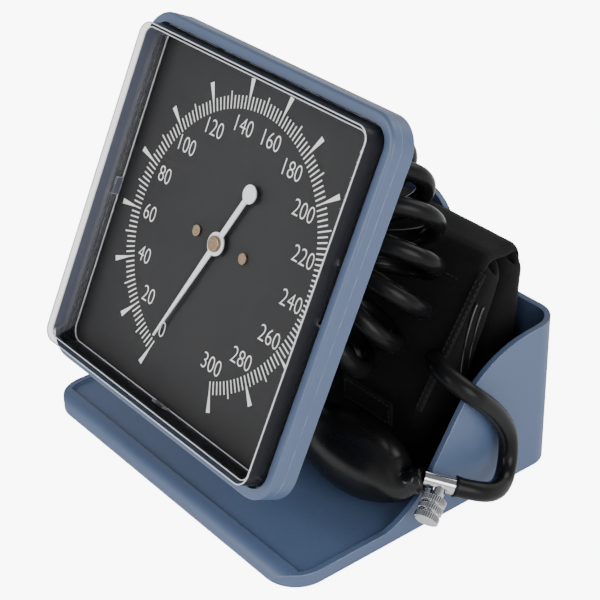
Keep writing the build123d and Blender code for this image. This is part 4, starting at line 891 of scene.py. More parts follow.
def cut_line(line: Sequence[Vector], at: float) -> tuple[list[Vector], list[Vector]]:
    """Cut a line in two.

    Args:
        line: The line's points.
        at: Distance from its start to the cut.

    Returns:
        The part before the cut and the part after it, which share the cut's point.
    """
    gone = 0.0
    for i, (a, b) in enumerate(zip(line, line[1:])):
        step = (b - a).length
        if gone + step >= at:
            middle = a.lerp(b, (at - gone) / step)
            return [*line[:i + 1], middle], [middle, *line[i + 1:]]
        gone += step
    raise ValueError("the cut lies past the line's end")


def ring_faces(rings: int, sides: int) -> list[tuple]:
    """Faces between rings of points, with a cap at each end.

    Args:
        rings: How many rings.
        sides: Points in each.

    Returns:
        The faces.
    """
    faces = []
    for i in range(rings - 1):
        for k in range(sides):
            a, b = i * sides + k, i * sides + (k + 1) % sides
            faces.append((a, b, b + sides, a + sides))
    last = (rings - 1) * sides
    return [*faces, tuple(range(sides))[::-1], tuple(range(last, last + sides))]


def tube_mesh(line: Sequence[Vector], radii: Sequence[float], sides: int) -> tuple[list, list]:
    """Round tube along a line, closed at both ends.

    Args:
        line: Points along its middle.
        radii: Its radius at each point.
        sides: Points round it.

    Returns:
        Its points and its faces.
    """
    way = (line[1] - line[0]).normalized()
    side = way.orthogonal().normalized()
    points = []
    for i, (centre, radius) in enumerate(zip(line, radii)):
        ahead = line[min(i + 1, len(line) - 1)] - line[max(i - 1, 0)]
        ahead.normalize()
        side = (side - ahead * side.dot(ahead)).normalized()
        other = ahead.cross(side)
        for k in range(sides):
            angle = TURN * k / sides
            points.append(centre + (side * math.cos(angle) + other * math.sin(angle)) * radius)
    return points, ring_faces(len(line), sides)


def lathe_mesh(
    profile: Outline, base: Vector, axis: Vector, sides: int, ripple: Callable | None = None
) -> tuple[list, list]:
    """Turned form about an axis.

    Args:
        profile: Distance along the axis and radius, from one end to the other.
        base: Where the axis starts.
        axis: Its direction.
        sides: Points round it.
        ripple: Function of angle and distance along that gives what is added to the radius.

    Returns:
        Its points and its faces.
    """
    way = axis.normalized()
    side = way.orthogonal().normalized()
    other = way.cross(side)
    points = []
    for along, radius in profile:
        for k in range(sides):
            angle = TURN * k / sides
            r = radius + (ripple(angle, along) if ripple and radius > 0 else 0.0)
            points.append(base + way * along + (side * math.cos(angle) + other * math.sin(angle)) * r)
    return points, ring_faces(len(profile), sides)


def prism_mesh(corners: Sequence[Vector], rise: Vector) -> tuple[list, list]:
    """Flat outline given a thickness.

    Args:
        corners: The outline's corners in order.
        rise: How far and which way it is thickened.

    Returns:
        Its points and its faces.
    """
    count = len(corners)
    points = [*corners, *(corner + rise for corner in corners)]
    faces = [tuple(range(count))[::-1], tuple(range(count, 2 * count))]
    faces += [(k, (k + 1) % count, (k + 1) % count + count, k + count) for k in range(count)]
    return points, faces


def joined(parts: Sequence[tuple[list, list]]) -> tuple[list, list]:
    """Put several meshes' points and faces together.

    Args:
        parts: Points and faces of each.

    Returns:
        All the points and all the faces.
    """
    points, faces = [], []
    for some_points, some_faces in parts:
        start = len(points)
        points += some_points
        faces += [tuple(index + start for index in face) for face in some_faces]
    return points, faces


def thick_sheet(surface: Callable, across: Sequence[float], down: Sequence[float]) -> tuple[list, list]:
    """Closed padded form between a front and a back surface that meet at their rims.

    Args:
        surface: Function of two shares and a side, 1 or -1, that gives a point.
        across: Shares from 0 to 1 in the first direction.
        down: Shares from 0 to 1 in the second direction.

    Returns:
        Its points and its faces.
    """
    points, faces = [], []
    columns = len(down)
    for side in (1, -1):
        start = len(points)
        points += [surface(u, v, side) for u in across for v in down]
        for i in range(len(across) - 1):
            for j in range(columns - 1):
                a = start + i * columns + j
                face = (a, a + 1, a + columns + 1, a + columns)
                faces.append(face if side > 0 else face[::-1])
    return points, faces


def shares(count: int, rim: float) -> list[float]:
    """Shares from 0 to 1 that crowd towards both ends.

    Args:
        count: How many.
        rim: How much they crowd, from 0 for evenly spaced to 1.

    Returns:
        The shares.
    """
    even = [i / (count - 1) for i in range(count)]
    return [(1 - rim) * t + rim * (1 - math.cos(math.pi * t)) / 2 for t in even]


def rounding(distance: float, radius: float) -> float:
    """Share of the thickness at a distance from a rounded rim.

    Args:
        distance: Distance from the rim.
        radius: The rounding's radius.

    Returns:
        The share, 0 at the rim and 1 past the rounding.
    """
    if distance >= radius:
        return 1.0
    inside = 1 - max(distance, 0.0) / radius
    return math.sqrt(max(0.0, 1 - inside * inside))


def resampled(line: Sequence[Vector], pitch: float) -> list[Vector]:
    """Points at even distances along a line.

    Args:
        line: The line's points.
        pitch: Distance between the points.

    Returns:
        The points, from the line's start.
    """
    places, due, gone = [], 0.0, 0.0
    for a, b in zip(line, line[1:]):
        step = (b - a).length
        while step > 0 and due <= gone + step:
            places.append(a.lerp(b, (due - gone) / step))
            due += pitch
        gone += step
    return places


@dataclass(frozen=True)
class Seam:
    """Row of short raised stitches along a line."""

    pitch: float = 0.0026
    filled: float = 0.68
    radius: float = 0.00024
    lift: float = 0.00022

    def mesh(self, line: Sequence[Vector], out: Vector) -> tuple[list, list]:
        """Make the stitches.

        Args:
            line: The line on the cloth that they follow.
            out: Direction out of the cloth.

        Returns:
            Their points and faces.
        """
        knots = resampled(line, self.pitch)
        parts = []
        for a, b in zip(knots, knots[1:]):
            end = a.lerp(b, self.filled)
            middle = a.lerp(end, 0.5) + out * self.lift
            track = [a - out * self.lift, a.lerp(middle, 0.5) + out * self.lift * 0.4, middle]
            track += [end.lerp(middle, 0.5) + out * self.lift * 0.4, end - out * self.lift]
            radii = [self.radius * share for share in (0.7, 1.0, 1.0, 1.0, 0.7)]
            parts.append(tube_mesh(track, radii, 6))
        return joined(parts)


# Camera, floor and lights


@dataclass
class Studio:
    """Pale floor, soft lights and the camera at the photograph's angle."""

    camera_at: Triple = (0.4879, -0.37365, 0.4380)
    bearing: float = math.radians(-37.8)
    elevation: float = math.radians(31.001)
    roll: float = math.radians(-1.54)
    lens: float = 98.7
    sensor: float = 36.0
    floor_half: float = 4.0

    def build(self) -> None:
        """Make the camera, the floor and the lights."""
        data = bpy.data.cameras.new("camera")
        data.lens = self.lens
        data.sensor_width = self.sensor
        data.clip_start, data.clip_end = 0.01, 20.0
        camera = bpy.data.objects.new("camera", data)
        turn = Matrix.Rotation(self.bearing + math.pi / 2, 4, "Z")
        turn @= Matrix.Rotation(math.pi / 2 - self.elevation, 4, "X")
        turn @= Matrix.Rotation(self.roll, 4, "Z")
        camera.matrix_world = Matrix.Translation(self.camera_at) @ turn
        bpy.context.scene.collection.objects.link(camera)
        bpy.context.scene.camera = camera
        self.floor()
        self.light("front", (-0.35, -1.35, 0.75), 0.9, 20.0)
        self.light("side", (1.35, -0.15, 0.55), 0.9, 15.0)
        self.light("back", (0.2, 1.2, 1.1), 0.9, 8.0)
        self.tent()
        log.info("camera, floor and lights are up")

    def tent(self) -> None:
        """Surround the object with white light that is weaker from straight above."""
        world = bpy.data.worlds.new("studio")
        world.use_nodes = True
        book = NodeBook(world.node_tree)
        way = book.add("ShaderNodeTexCoord").outputs["Generated"]
        level = book.add("ShaderNodeSeparateXYZ", {0: way}).outputs["Z"]
        sky = world.node_tree.nodes["Background"]
        book.tree.links.new(book.spread(level, (0.15, 0.8), (1.05, 0.3)), sky.inputs["Strength"])
        sky.inputs["Color"].default_value = (0.98, 0.985, 1.0, 1.0)
        bpy.context.scene.world = world

    def floor(self) -> None:
        """Lay the pale floor."""
        h = self.floor_half
        corners = [(-h, -h, 0.0), (h, -h, 0.0), (h, h, 0.0), (-h, h, 0.0)]
        ground = piece_from("floor", corners, [(0, 1, 2, 3)], smooth=False)
        material, book, shader = blank_material("pale floor", Roughness=0.75, Emission_Strength=8.0)
        seen = book.add("ShaderNodeLightPath").outputs["Is Camera Ray"]
        feed(book, shader, Emission_Color=book.mix(seen, (0.038, 0.038, 0.038), (1.0, 1.0, 1.0)))
        tone = book.spread(book.noise(6.0, 2.0), (0.3, 0.7))
        feed(book, shader, Base_Color=book.mix(tone, (0.93, 0.93, 0.93), (0.915, 0.92, 0.92)))
        ground.data.materials.append(material)
        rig.stage(ground)

    def light(self, name: str, at: Triple, size: float, power: float) -> None:
        """Hang one soft square light that looks at the object.

        Args:
            name: The light's name.
            at: Where it hangs.
            size: Its side.
            power: Its power in watts.
        """
        data = bpy.data.lights.new(name, "AREA")
        data.size = size
        data.energy = power
        lamp = bpy.data.objects.new(name, data)
        lamp.location = at
        aim = Vector((0.0, 0.0, 0.06)) - Vector(at)
        lamp.rotation_euler = aim.to_track_quat("-Z", "Y").to_euler()
        bpy.context.scene.collection.objects.link(lamp)


@dataclass(frozen=True)
class HeadFrame:
    """Frame of the gauge head: x to the right, y up the dial and z out of it."""

    forward: float = 0.03575
    height: float = 0.1095
    lean: float = math.radians(26.0)

    def place(self, x: float, y: float, z: float) -> Vector:
        """Point of the head, given in its own frame."""
        sine, cosine = math.sin(self.lean), math.cos(self.lean)
        return Vector((x, -self.forward + y * sine - z * cosine, self.height + y * cosine + z * sine))

    def way_out(self) -> Vector:
        """Direction straight out of the dial."""
        return Vector((0.0, -math.cos(self.lean), math.sin(self.lean)))

    def way_up(self) -> Vector:
        """Direction from the dial's middle to its top."""
        return Vector((0.0, math.sin(self.lean), math.cos(self.lean)))


HEAD = HeadFrame()


# Hoses


@dataclass
class Coil:
    """Long hose from the gauge's barb, loosely coiled behind the head, to its connector."""

    hose_radius: float = 0.00415
    coil_radius: float = 0.0178
    first_turn: int = -6
    last_turn: float = 6.5
    points_per_turn: int = 16
    sides: int = 28
    barb_depth: float = -0.038
    head_tail: float = 0.028
    length: float = 1.56
    face_normal: Triple = (0.0, -0.835, 0.55)
    upper_tail: tuple = ((-0.024, 0.0222, 0.082), (-0.046, 0.0202, 0.090))
    upper_start: float = 0.020
    upper_end: float = 0.018
    lower_start: float = 0.012
    lower_end: float = 0.012
    connector_face: Triple = (-0.018, 0.0159, 0.0574)
    cuff_start: Triple = (-0.034, 0.0159, 0.0574)
    cuff_straight: float = 0.012
    cuff_end: Triple = (-0.058, 0.02475, 0.0514)
    # One row for each turn: a point on the coil's axis, and the direction that the coil runs there
    axis: tuple = (
        ((-0.0575, 0.0327, 0.1255), (1.0, 0.0, 0.04)),
        ((-0.0445, 0.0327, 0.1270), (1.0, 0.0, 0.03)),
        ((-0.0315, 0.0327, 0.1285), (1.0, 0.0, 0.01)),
        ((-0.0180, 0.0327, 0.1295), (1.0, -0.01, -0.07)),
        ((-0.0042, 0.0330, 0.1299), (0.96, -0.07, -0.22)),
        ((0.0096, 0.0325, 0.1285), (0.87, -0.18, -0.42)),
        ((0.0225, 0.0310, 0.1240), (0.72, -0.31, -0.60)),
        ((0.0332, 0.0282, 0.1155), (0.54, -0.41, -0.72)),
        ((0.0405, 0.0247, 0.1037), (0.30, -0.48, -0.82)),
        ((0.0430, 0.0192, 0.0910), (0.02, -0.52, -0.85)),
        ((0.0405, 0.0119, 0.0790), (-0.26, -0.54, -0.80)),
        ((0.0340, 0.0047, 0.0685), (-0.50, -0.53, -0.69)),
        ((0.0245, -0.0018, 0.0600), (-0.72, -0.47, -0.52)),
        ((0.0125, -0.0068, 0.0545), (-0.87, -0.38, -0.30)),
    )

    def smooth_row(self, column: int, place: float) -> Vector:
        """Point on a smooth curve through one column of the axis rows.

        Args:
            column: 0 for the axis points, 1 for the directions.
            place: Which row, with the share of the way to the next one.

        Returns:
            The point or direction.
        """
        rows = [Vector(row[column]) for row in self.axis]
        index = min(int(place), len(rows) - 2)
        u = place - index
        here, ahead = rows[index], rows[index + 1]
        before = rows[index - 1] if index > 0 else here * 2 - ahead
        after = rows[index + 2] if index + 2 < len(rows) else ahead * 2 - here
        linear = (ahead - before) * u
        squared = (before * 2 - here * 5 + ahead * 4 - after) * u**2
        cubed = (here * 3 - before - ahead * 3 + after) * u**3
        return (here * 2 + linear + squared + cubed) * 0.5

    def turn_point(self, turn: float, grow: float = 1.0) -> Vector:
        """Point of the hose's middle at a turn number.

        Args:
            turn: Turns from the middle of the coil; whole ones are nearest the front.
            grow: Share by which the coil's radius is enlarged.

        Returns:
            The point.
        """
        place = turn - self.first_turn
        centre = self.smooth_row(0, place)
        along = self.smooth_row(1, place).normalized()
        face = Vector(self.face_normal)
        front = (face - along * face.dot(along)).normalized()
        side = along.cross(front)
        angle = TURN * turn
        return centre + (front * math.cos(angle) - side * math.sin(angle)) * self.coil_radius * grow

    def turn_way(self, turn: float) -> Vector:
        """Direction of the hose at a turn number."""
        return (self.turn_point(turn + 0.001) - self.turn_point(turn - 0.001)).normalized()

    def route(self) -> list[Vector]:
        """Control points of the whole hose, from the barb to the connector."""
        start = HEAD.place(0.0, 0.0, self.barb_depth)
        coil_start = self.turn_point(self.first_turn)
        coil_end = self.turn_point(self.last_turn)
        first_way = self.turn_way(self.first_turn + 0.002)
        last_way = self.turn_way(self.last_turn - 0.002)
        points = [start, start - HEAD.way_out() * self.upper_start]
        points += [Vector(p) for p in self.upper_tail]
        points.append(coil_start - first_way * self.upper_end)
        # A spline of order 3 runs inside its control points by this share
        grow = 1 / math.cos(math.pi / self.points_per_turn)
        count = round((self.last_turn - self.first_turn) * self.points_per_turn)
        for i in range(count + 1):
            points.append(self.turn_point(self.first_turn + i / self.points_per_turn, grow))
        face = Vector(self.connector_face)
        points += [coil_end + last_way * self.lower_start, face + Vector((self.lower_end, 0, 0)), face]
        return points

    def build(self, finishes: Finishes) -> None:
        """Make the hose, its first stretch behind the barb, and the cuff's own short hose.

        Args:
            finishes: The materials.
        """
        line = read_nurbs(self.route(), 5)
        first, rest = cut_line(line, self.head_tail)
        hose = piece_from("coiled_hose", *tube_mesh(rest, [self.hose_radius] * len(rest), self.sides))
        dress(hose, finishes.hose, "tube_rubber")
        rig.replaces(hose, "coiled_tube")
        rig.ride(hose, "stand")
        start_tube = tube_mesh(first, [self.hose_radius] * len(first), self.sides)
        tail = piece_from("coiled_hose_start", *start_tube)
        dress(tail, finishes.hose, "tube_rubber")
        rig.blend(tail, "head", "stand", start=first[0], end=first[-1])
        start = Vector(self.cuff_start)
        bend = start - Vector((self.cuff_straight, 0.0, 0.0))
        short = read_nurbs([start, bend, Vector(self.cuff_end)], 12)
        cuff_hose = piece_from("cuff_hose", *tube_mesh(short, [self.hose_radius] * len(short), self.sides))
        dress(cuff_hose, finishes.hose, "tube_rubber")
        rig.replaces(cuff_hose, "cuff_tube")
        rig.ride(cuff_hose, "stand")
        dress_nodes(finishes.dark, "tube_connector", "cuff_connector")
        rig.cord(
            hose, exit=line[0], length=self.length, diameter=2 * self.hose_radius, far_end="connector",
            stiffness="limp", lay="coiled", path=rest,
            with_pieces=[tail, cuff_hose, "tube_connector", "cuff_connector"],
        )
        log.info("coiled hose: %.0f mm along its line", 1000 * line_length(line))


@dataclass
class BulbHose:
    """Hose from the release valve, over the side wall, into the cuff."""

    radius: float = 0.00425
    length: float = 0.132
    sides: int = 32
    valve_start: Triple = (0.0930, -0.00295, 0.0266)
    valve_end: Triple = (0.1002, 0.0046, 0.0236)
    straight: float = 0.009
    route: tuple = (
        (0.1065, 0.0220, 0.0155), (0.1010, 0.0330, 0.0135), (0.0965, 0.0395, 0.0205),
        (0.0960, 0.0395, 0.0315), (0.0962, 0.0335, 0.0425), (0.0962, 0.0260, 0.0520),
        (0.0956, 0.0170, 0.0610), (0.0860, 0.0128, 0.0665), (0.0750, 0.0160, 0.0660),
        (0.0621, 0.0280, 0.0574),
    )
    lip: float = 0.0004
    lip_length: float = 0.0016

    def build(self, finishes: Finishes) -> None:
        """Make the hose, with a slight lip where it is pushed over the valve.

        Args:
            finishes: The materials.
        """
        start = Vector(self.valve_end)
        way = (start - Vector(self.valve_start)).normalized()
        points = [start, start + way * self.straight, *(Vector(p) for p in self.route)]
        line = read_nurbs(points, 14)
        gone = 0.0
        radii = []
        for i, point in enumerate(line):
            gone += (point - line[i - 1]).length if i else 0.0
            radii.append(self.radius + self.lip * math.exp(-((gone / self.lip_length) ** 2)))
        hose = piece_from("bulb_hose", *tube_mesh(line, radii, self.sides))
        dress(hose, finishes.hose, "tube_rubber")
        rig.replaces(hose, "bulb_tube")
        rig.ride(hose, "stand")
        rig.cord(
            hose, exit=self.valve_end, length=self.length, diameter=2 * self.radius,
            far_end="object", stiffness="medium", lay="loose", path=line,
        )
        log.info("bulb hose: %.0f mm along its line", 1000 * line_length(line))


# Base


class Base:
    """Tray with its feet, the stand and the hinge."""

    def build(self, finishes: Finishes) -> None:
        """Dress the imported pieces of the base.

        Args:
            finishes: The materials.
        """
        dress_nodes(finishes.blue, "base_tray", "gauge_stand")
        dress_nodes(finishes.foot, "rubber_feet")
        dress_nodes(finishes.steel, "stand_screws", "hinge_bolt", "hinge_nut", "hinge_washers")


# Gauge head


class Mark(Enum):
    """Kinds of mark on the scale."""

    MINOR = "minor"
    MIDDLE = "middle"
    MAJOR = "major"


@dataclass
class DialPrint:
    """Printed scale: marks every 2, longer ones every 10, wedges and numbers every 20."""

    zero_angle: float = 248.84
    span: float = 317.66
    full_scale: int = 300
    step: int = 2
    middle_step: int = 10
    thickness: float = 0.00006
    half_width: float = 0.00032
    wedge_half: float = 0.0012
    radii: dict = field(default_factory=lambda: {
        Mark.MINOR: (0.0564, 0.0619), Mark.MIDDLE: (0.0564, 0.0638), Mark.MAJOR: (0.0564, 0.0693),
    })
    wedge_from: float = 0.0602
    number_height: float = 0.0068
    number_squeeze: float = 0.87
    number_thinning: float = -0.015
    number_radius: float = 0.0494
    text_depth: float = 0.01
    number_step: int = 20

    def kind(self, value: int) -> Mark:
        """Kind of the mark at a value.

        Args:
            value: The reading.

        Returns:
            The kind.
        """
        if value % self.number_step == 0:
            return Mark.MAJOR
        return Mark.MIDDLE if value % self.middle_step == 0 else Mark.MINOR

    def angle(self, value: int) -> float:
        """Angle of a reading on the dial."""
        return math.radians(self.zero_angle - self.span * value / self.full_scale)

    def mark(self, value: int) -> tuple[list, list]:
        """One mark of the scale.

        Args:
            value: The reading that it stands for.

        Returns:
            Its points and faces.
        """
        angle = self.angle(value)
        kind = self.kind(value)
        inner, outer = self.radii[kind]
        half = self.half_width
        rows = [(inner, half), (outer, half)]
        if kind is Mark.MAJOR:
            rows = [(inner, half), (self.wedge_from, half), (outer, self.wedge_half)]
        flat = [(r, -w) for r, w in rows] + [(r, w) for r, w in reversed(rows)]
        sine, cosine = math.sin(angle), math.cos(angle)
        corners = [HEAD.place(r * cosine - w * sine, r * sine + w * cosine, 0.0) for r, w in flat]
        return prism_mesh(corners, HEAD.way_out() * self.thickness)

    def numeral(self, value: int) -> tuple[list, list]:
        """One number of the scale.

        Args:
            value: The number.

        Returns:
            Its points and faces.
        """
        angle = self.angle(value)
        middle = (self.number_radius * math.cos(angle), self.number_radius * math.sin(angle))
        data = bpy.data.curves.new("number", "FONT")
        data.body = str(value)
        data.extrude = self.text_depth
        data.offset = self.number_thinning
        holder = bpy.data.objects.new("number", data)
        mesh = bpy.data.meshes.new_from_object(holder)
        points = np.array([v.co for v in mesh.vertices])
        faces = [tuple(p.vertices) for p in mesh.polygons]
        low, high = points.min(0), points.max(0)
        scale = self.number_height / (high[1] - low[1])
        centre = (low + high) / 2
        placed = []
        for x, y, z in points:
            sx = (x - centre[0]) * scale * self.number_squeeze + middle[0]
            sy = (y - centre[1]) * scale + middle[1]
            placed.append(HEAD.place(sx, sy, self.thickness if z > centre[2] else 0.0))
        bpy.data.objects.remove(holder)
        bpy.data.curves.remove(data)
        bpy.data.meshes.remove(mesh)
        return placed, faces

    def build(self, finishes: Finishes) -> None:
        """Make the marks and the numbers.

        Args:
            finishes: The materials.
        """
        marks = joined([self.mark(v) for v in range(0, self.full_scale + 1, self.step)])
        scale = piece_from("dial_scale", *marks, smooth=False)
        dress(scale, finishes.print, "pointer_white")
        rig.ride(scale, "head")
        parts = [self.numeral(v) for v in range(0, self.full_scale + 1, self.number_step)]
        numbers = piece_from("dial_numbers", *joined(parts), smooth=False)
        dress(numbers, finishes.print, "pointer_white")
        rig.ride(numbers, "head")
        log.info("dial: %d marks and %d numbers", self.full_scale // self.step + 1, len(parts))


@dataclass
class CoverHighlightBeads:
    """Thin pale beads along the cover's corners: painted highlights in place of the bright edges of clear plastic."""

    drop: float = 0.0008
    wire: float = 0.00028
    corner_steps: int = 10
    # One row for each rim: half of its square, its corner radius and its height over the dial
    rows: tuple = (
        (0.07365, 0.0058, 0.0159), (0.0720, 0.0042, 0.0140), (0.0729, 0.0058, 0.0012),
    )

    def loop(self, half: float, corner: float, height: float) -> list[Vector]:
        """Rounded square round the head's middle, with its start repeated at the end.

        Args:
            half: Half of its side.
            corner: Radius of its corners.
            height: How far it is out of the dial.

        Returns:
            Its points.
        """
        flat = []
        for quarter in range(4):
            turn = quarter * math.pi / 2
            for i in range(self.corner_steps + 1):
                angle = turn + math.pi / 2 * i / self.corner_steps
                reach = half - corner
                x = reach * (1 if quarter in (0, 3) else -1) + corner * math.cos(angle)
                y = reach * (1 if quarter in (0, 1) else -1) + corner * math.sin(angle)
                flat.append(HEAD.place(x, y - self.drop, height))
        return [*flat, *flat[:2]]

    def build(self, finishes: Finishes) -> None:
        """Make the beads, which are painted highlights.

        Args:
            finishes: The materials.
        """
        loops = [self.loop(*row) for row in self.rows]
        parts = [tube_mesh(loop, [self.wire] * len(loop), 8) for loop in loops]
        piece = piece_from("cover_highlight_beads", *joined(parts))
        dress(piece, finishes.rim, "clear_plastic")
        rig.ride(piece, "head")


@dataclass
class CoverClips:
    """Small catches moulded on the inside of the cover's foot."""

    half: float = 0.0727
    drop: float = 0.0008
    foot: float = 0.0014
    height: float = 0.0040
    depth: float = 0.0008
    length: float = 0.008
    places: tuple = (0.0,)

    def catch(self, x: float, y: float, along: Triple) -> tuple[list, list]:
        """One catch against the cover's wall.

        Args:
            x: Middle across the head.
            y: Middle up the head.
            along: Half length across and up, and the way out of the wall across.

        Returns:
            Its points and faces.
        """
        wide, tall, out = along
        push = self.depth * out
        low = [(x - wide, y - tall), (x + wide, y - tall), (x + wide, y + tall), (x - wide, y + tall)]
        points = [HEAD.place(a, b, self.foot) for a, b in low]
        slope = [(a + push if wide < tall else a, b + push if wide > tall else b) for a, b in low]
        points += [HEAD.place(a, b, self.foot + self.height) for a, b in slope]
        faces = [(0, 1, 2, 3), (7, 6, 5, 4), (0, 4, 5, 1), (1, 5, 6, 2), (2, 6, 7, 3), (3, 7, 4, 0)]
        return points, faces

    def build(self, finishes: Finishes) -> None:
        """Make the catches along all four sides.

        Args:
            finishes: The materials.
        """
        wall, half_length = self.depth / 2, self.length / 2
        parts = []
        for place in self.places:
            for side in (-1, 1):
                parts.append(self.catch(side * self.half, place - self.drop, (wall, half_length, -side)))
                parts.append(self.catch(place, side * self.half - self.drop, (half_length, wall, -side)))
        piece = piece_from("cover_clips", *joined(parts), smooth=False)
        dress(piece, finishes.clear, "clear_plastic")
        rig.ride(piece, "head")


class GaugeHead:
    """Housing, cover, dial and pointer."""

    def build(self, finishes: Finishes) -> None:
        """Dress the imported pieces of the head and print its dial.

        Args:
            finishes: The materials.
        """
        # Pale beads along the cover's edges, as painted highlights
        CoverHighlightBeads().build(finishes)
        CoverClips().build(finishes)
        dress_nodes(finishes.blue, "rear_case", "front_bezel")
        dress_nodes(finishes.clear, "clear_cover")
        dress_nodes(finishes.dial, "dial_plate")
        dress_nodes(finishes.dark, "dial_spacers")
        dress_nodes(finishes.aged, "dial_screws", "pointer_cap")
        dress_nodes(finishes.pointer, "pointer")
        DialPrint().build(finishes)


class Movement:
    """Works behind the dial."""

    def build(self, finishes: Finishes) -> None:
        """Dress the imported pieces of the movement.

        Args:
            finishes: The materials.
        """
        brass = ["lower_plate", "upper_plate", "pinion_bridge", "movement_standoffs"]
        brass += ["movement_pillars", "gauge_socket", "socket_nut", "sector_gear"]
        dress_nodes(finishes.brass, *brass)
        dress_nodes(finishes.bronze, "pressure_capsule", "hairspring")
        steel = ["movement_screws", "capsule_post", "rocker_arm", "pinion_shaft", "hairspring_stud"]
        dress_nodes(finishes.steel, *steel)


# Bulb


@dataclass
class Bulb:
    """Rubber bulb with its inlet valve, release valve and knurled knob."""

    centre: Triple = (0.0552, -0.01065, 0.0228)
    radius: float = 0.0165
    half_length: float = 0.0325
    neck_start: Triple = (0.0845, -0.0110, 0.0234)
    neck_end: Triple = (0.0922, -0.0052, 0.0273)
    neck_radius: float = 0.0052
    neck_knee: float = 0.0800
    end_inset: float = 0.0004
    straight_steps: int = 80
    knee_lead: float = 0.0052
    slant_share: float = 0.42
    blend: float = 4.0
    lip: float = 0.00045
    lip_share: float = 0.86
    lip_width: float = 0.12
    seam: float = 0.00018
    sides: int = 72
    valve_start: Triple = (0.0930, -0.00295, 0.0266)
    valve_end: Triple = (0.1002, 0.0046, 0.0236)
    knob_axis: Triple = (0.33, -0.80, -0.50)
    knob_start: float = 0.0072
    bands: tuple = ((0.0, 0.0031), (0.0039, 0.0068), (0.0076, 0.0108))
    band_bevel: float = 0.0003
    band_margin: float = 0.0001
    socket_radius: float = 0.00128
    socket_depth: float = 0.0029
    knob_radius: float = 0.0053
    knob_teeth: int = 34
    knurl: float = 0.00042
    groove: float = 0.0009

    def profile(self, x: float) -> float:
        """Radius at a distance along the bulb.

        Args:
            x: Distance from the bulb's middle.

        Returns:
            The radius.
        """
        share = min(1.0, abs(x) / self.half_length)
        round_part = self.radius * math.sqrt(max(0.0, 1 - share**2))
        return (round_part**self.blend + self.neck_radius**self.blend) ** (1 / self.blend)

    def body(self) -> tuple[list, list]:
        """Bulb and neck as one skin, with a mould seam along it.

        Returns:
            Its points and faces.
        """
        middle = Vector(self.centre)
        left = middle - Vector((self.half_length - self.end_inset, 0, 0))
        knee = Vector((self.neck_knee, self.centre[1], self.centre[2]))
        straight = [left.lerp(knee, i / self.straight_steps) for i in range(self.straight_steps)]
        end = Vector(self.neck_end)
        slant = end - Vector(self.neck_start)
        lead = knee + Vector((self.knee_lead, 0, 0))
        bend = read_nurbs([knee, lead, end - slant * self.slant_share, end], 10)
        line = straight + bend[1:]
        radii = []
        total = line_length(bend)
        gone = 0.0
        for i, point in enumerate(line):
            if i < len(straight):
                radii.append(self.profile(point.x - middle.x))
                continue
            gone += (point - line[i - 1]).length
            share = gone / total
            ring = self.lip * math.exp(-(((share - self.lip_share) / self.lip_width) ** 2))
            radii.append(self.profile(min(point.x - middle.x, self.half_length)) + ring)
        points, faces = tube_mesh(line, radii, self.sides)
        for i, point in enumerate(line):
            for k in (0, self.sides // 2):
                index = i * self.sides + k
                out = points[index] - point
                points[index] = points[index] + out.normalized() * self.seam
        return points, faces

    def knob(self) -> tuple[list, list]:
        """Knurled knob with two turned grooves.

        Returns:
            Its points and faces.
        """
        middle = (Vector(self.valve_start) + Vector(self.valve_end)) / 2
        axis = Vector(self.knob_axis).normalized()
        r, bevel, margin = self.knob_radius, self.band_bevel, self.band_margin
        hole, depth = self.socket_radius, self.socket_depth
        rows = [(depth, 0.0), (depth, hole), (0.0, hole)]
        for low, high in self.bands:
            rows += [(low, r - self.groove), (low + bevel, r), (high - bevel, r), (high, r - self.groove)]
        rows.append((self.bands[-1][1], 0.0))

        def tooth(angle: float, along: float) -> float:
            """Height of the knurl, which is only on the three bands."""
            on_band = any(low + margin < along < high - margin for low, high in self.bands)
            return self.knurl * (abs(math.cos(self.knob_teeth * angle / 2)) - 1) if on_band else 0.0

        return lathe_mesh(rows, middle + axis * self.knob_start, axis, 4 * self.knob_teeth, tooth)

    def build(self, finishes: Finishes) -> None:
        """Make the bulb and the knob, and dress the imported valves.

        Args:
            finishes: The materials.
        """
        skin = piece_from("bulb_skin", *self.body())
        dress(skin, finishes.bulb, "bulb_rubber")
        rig.replaces(skin, "rubber_bulb")
        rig.ride(skin, "stand")
        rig.padded(skin, fill=0.9)
        knob = piece_from("knurled_knob", *self.knob(), smooth=False)
        dress(knob, finishes.chrome, "chrome")
        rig.replaces(knob, "valve_knob")
        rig.ride(knob, "knob")
        dress_nodes(finishes.chrome, "inlet_valve", "valve_body", "valve_needle")
        log.info("bulb and valves are done")


# Cuff


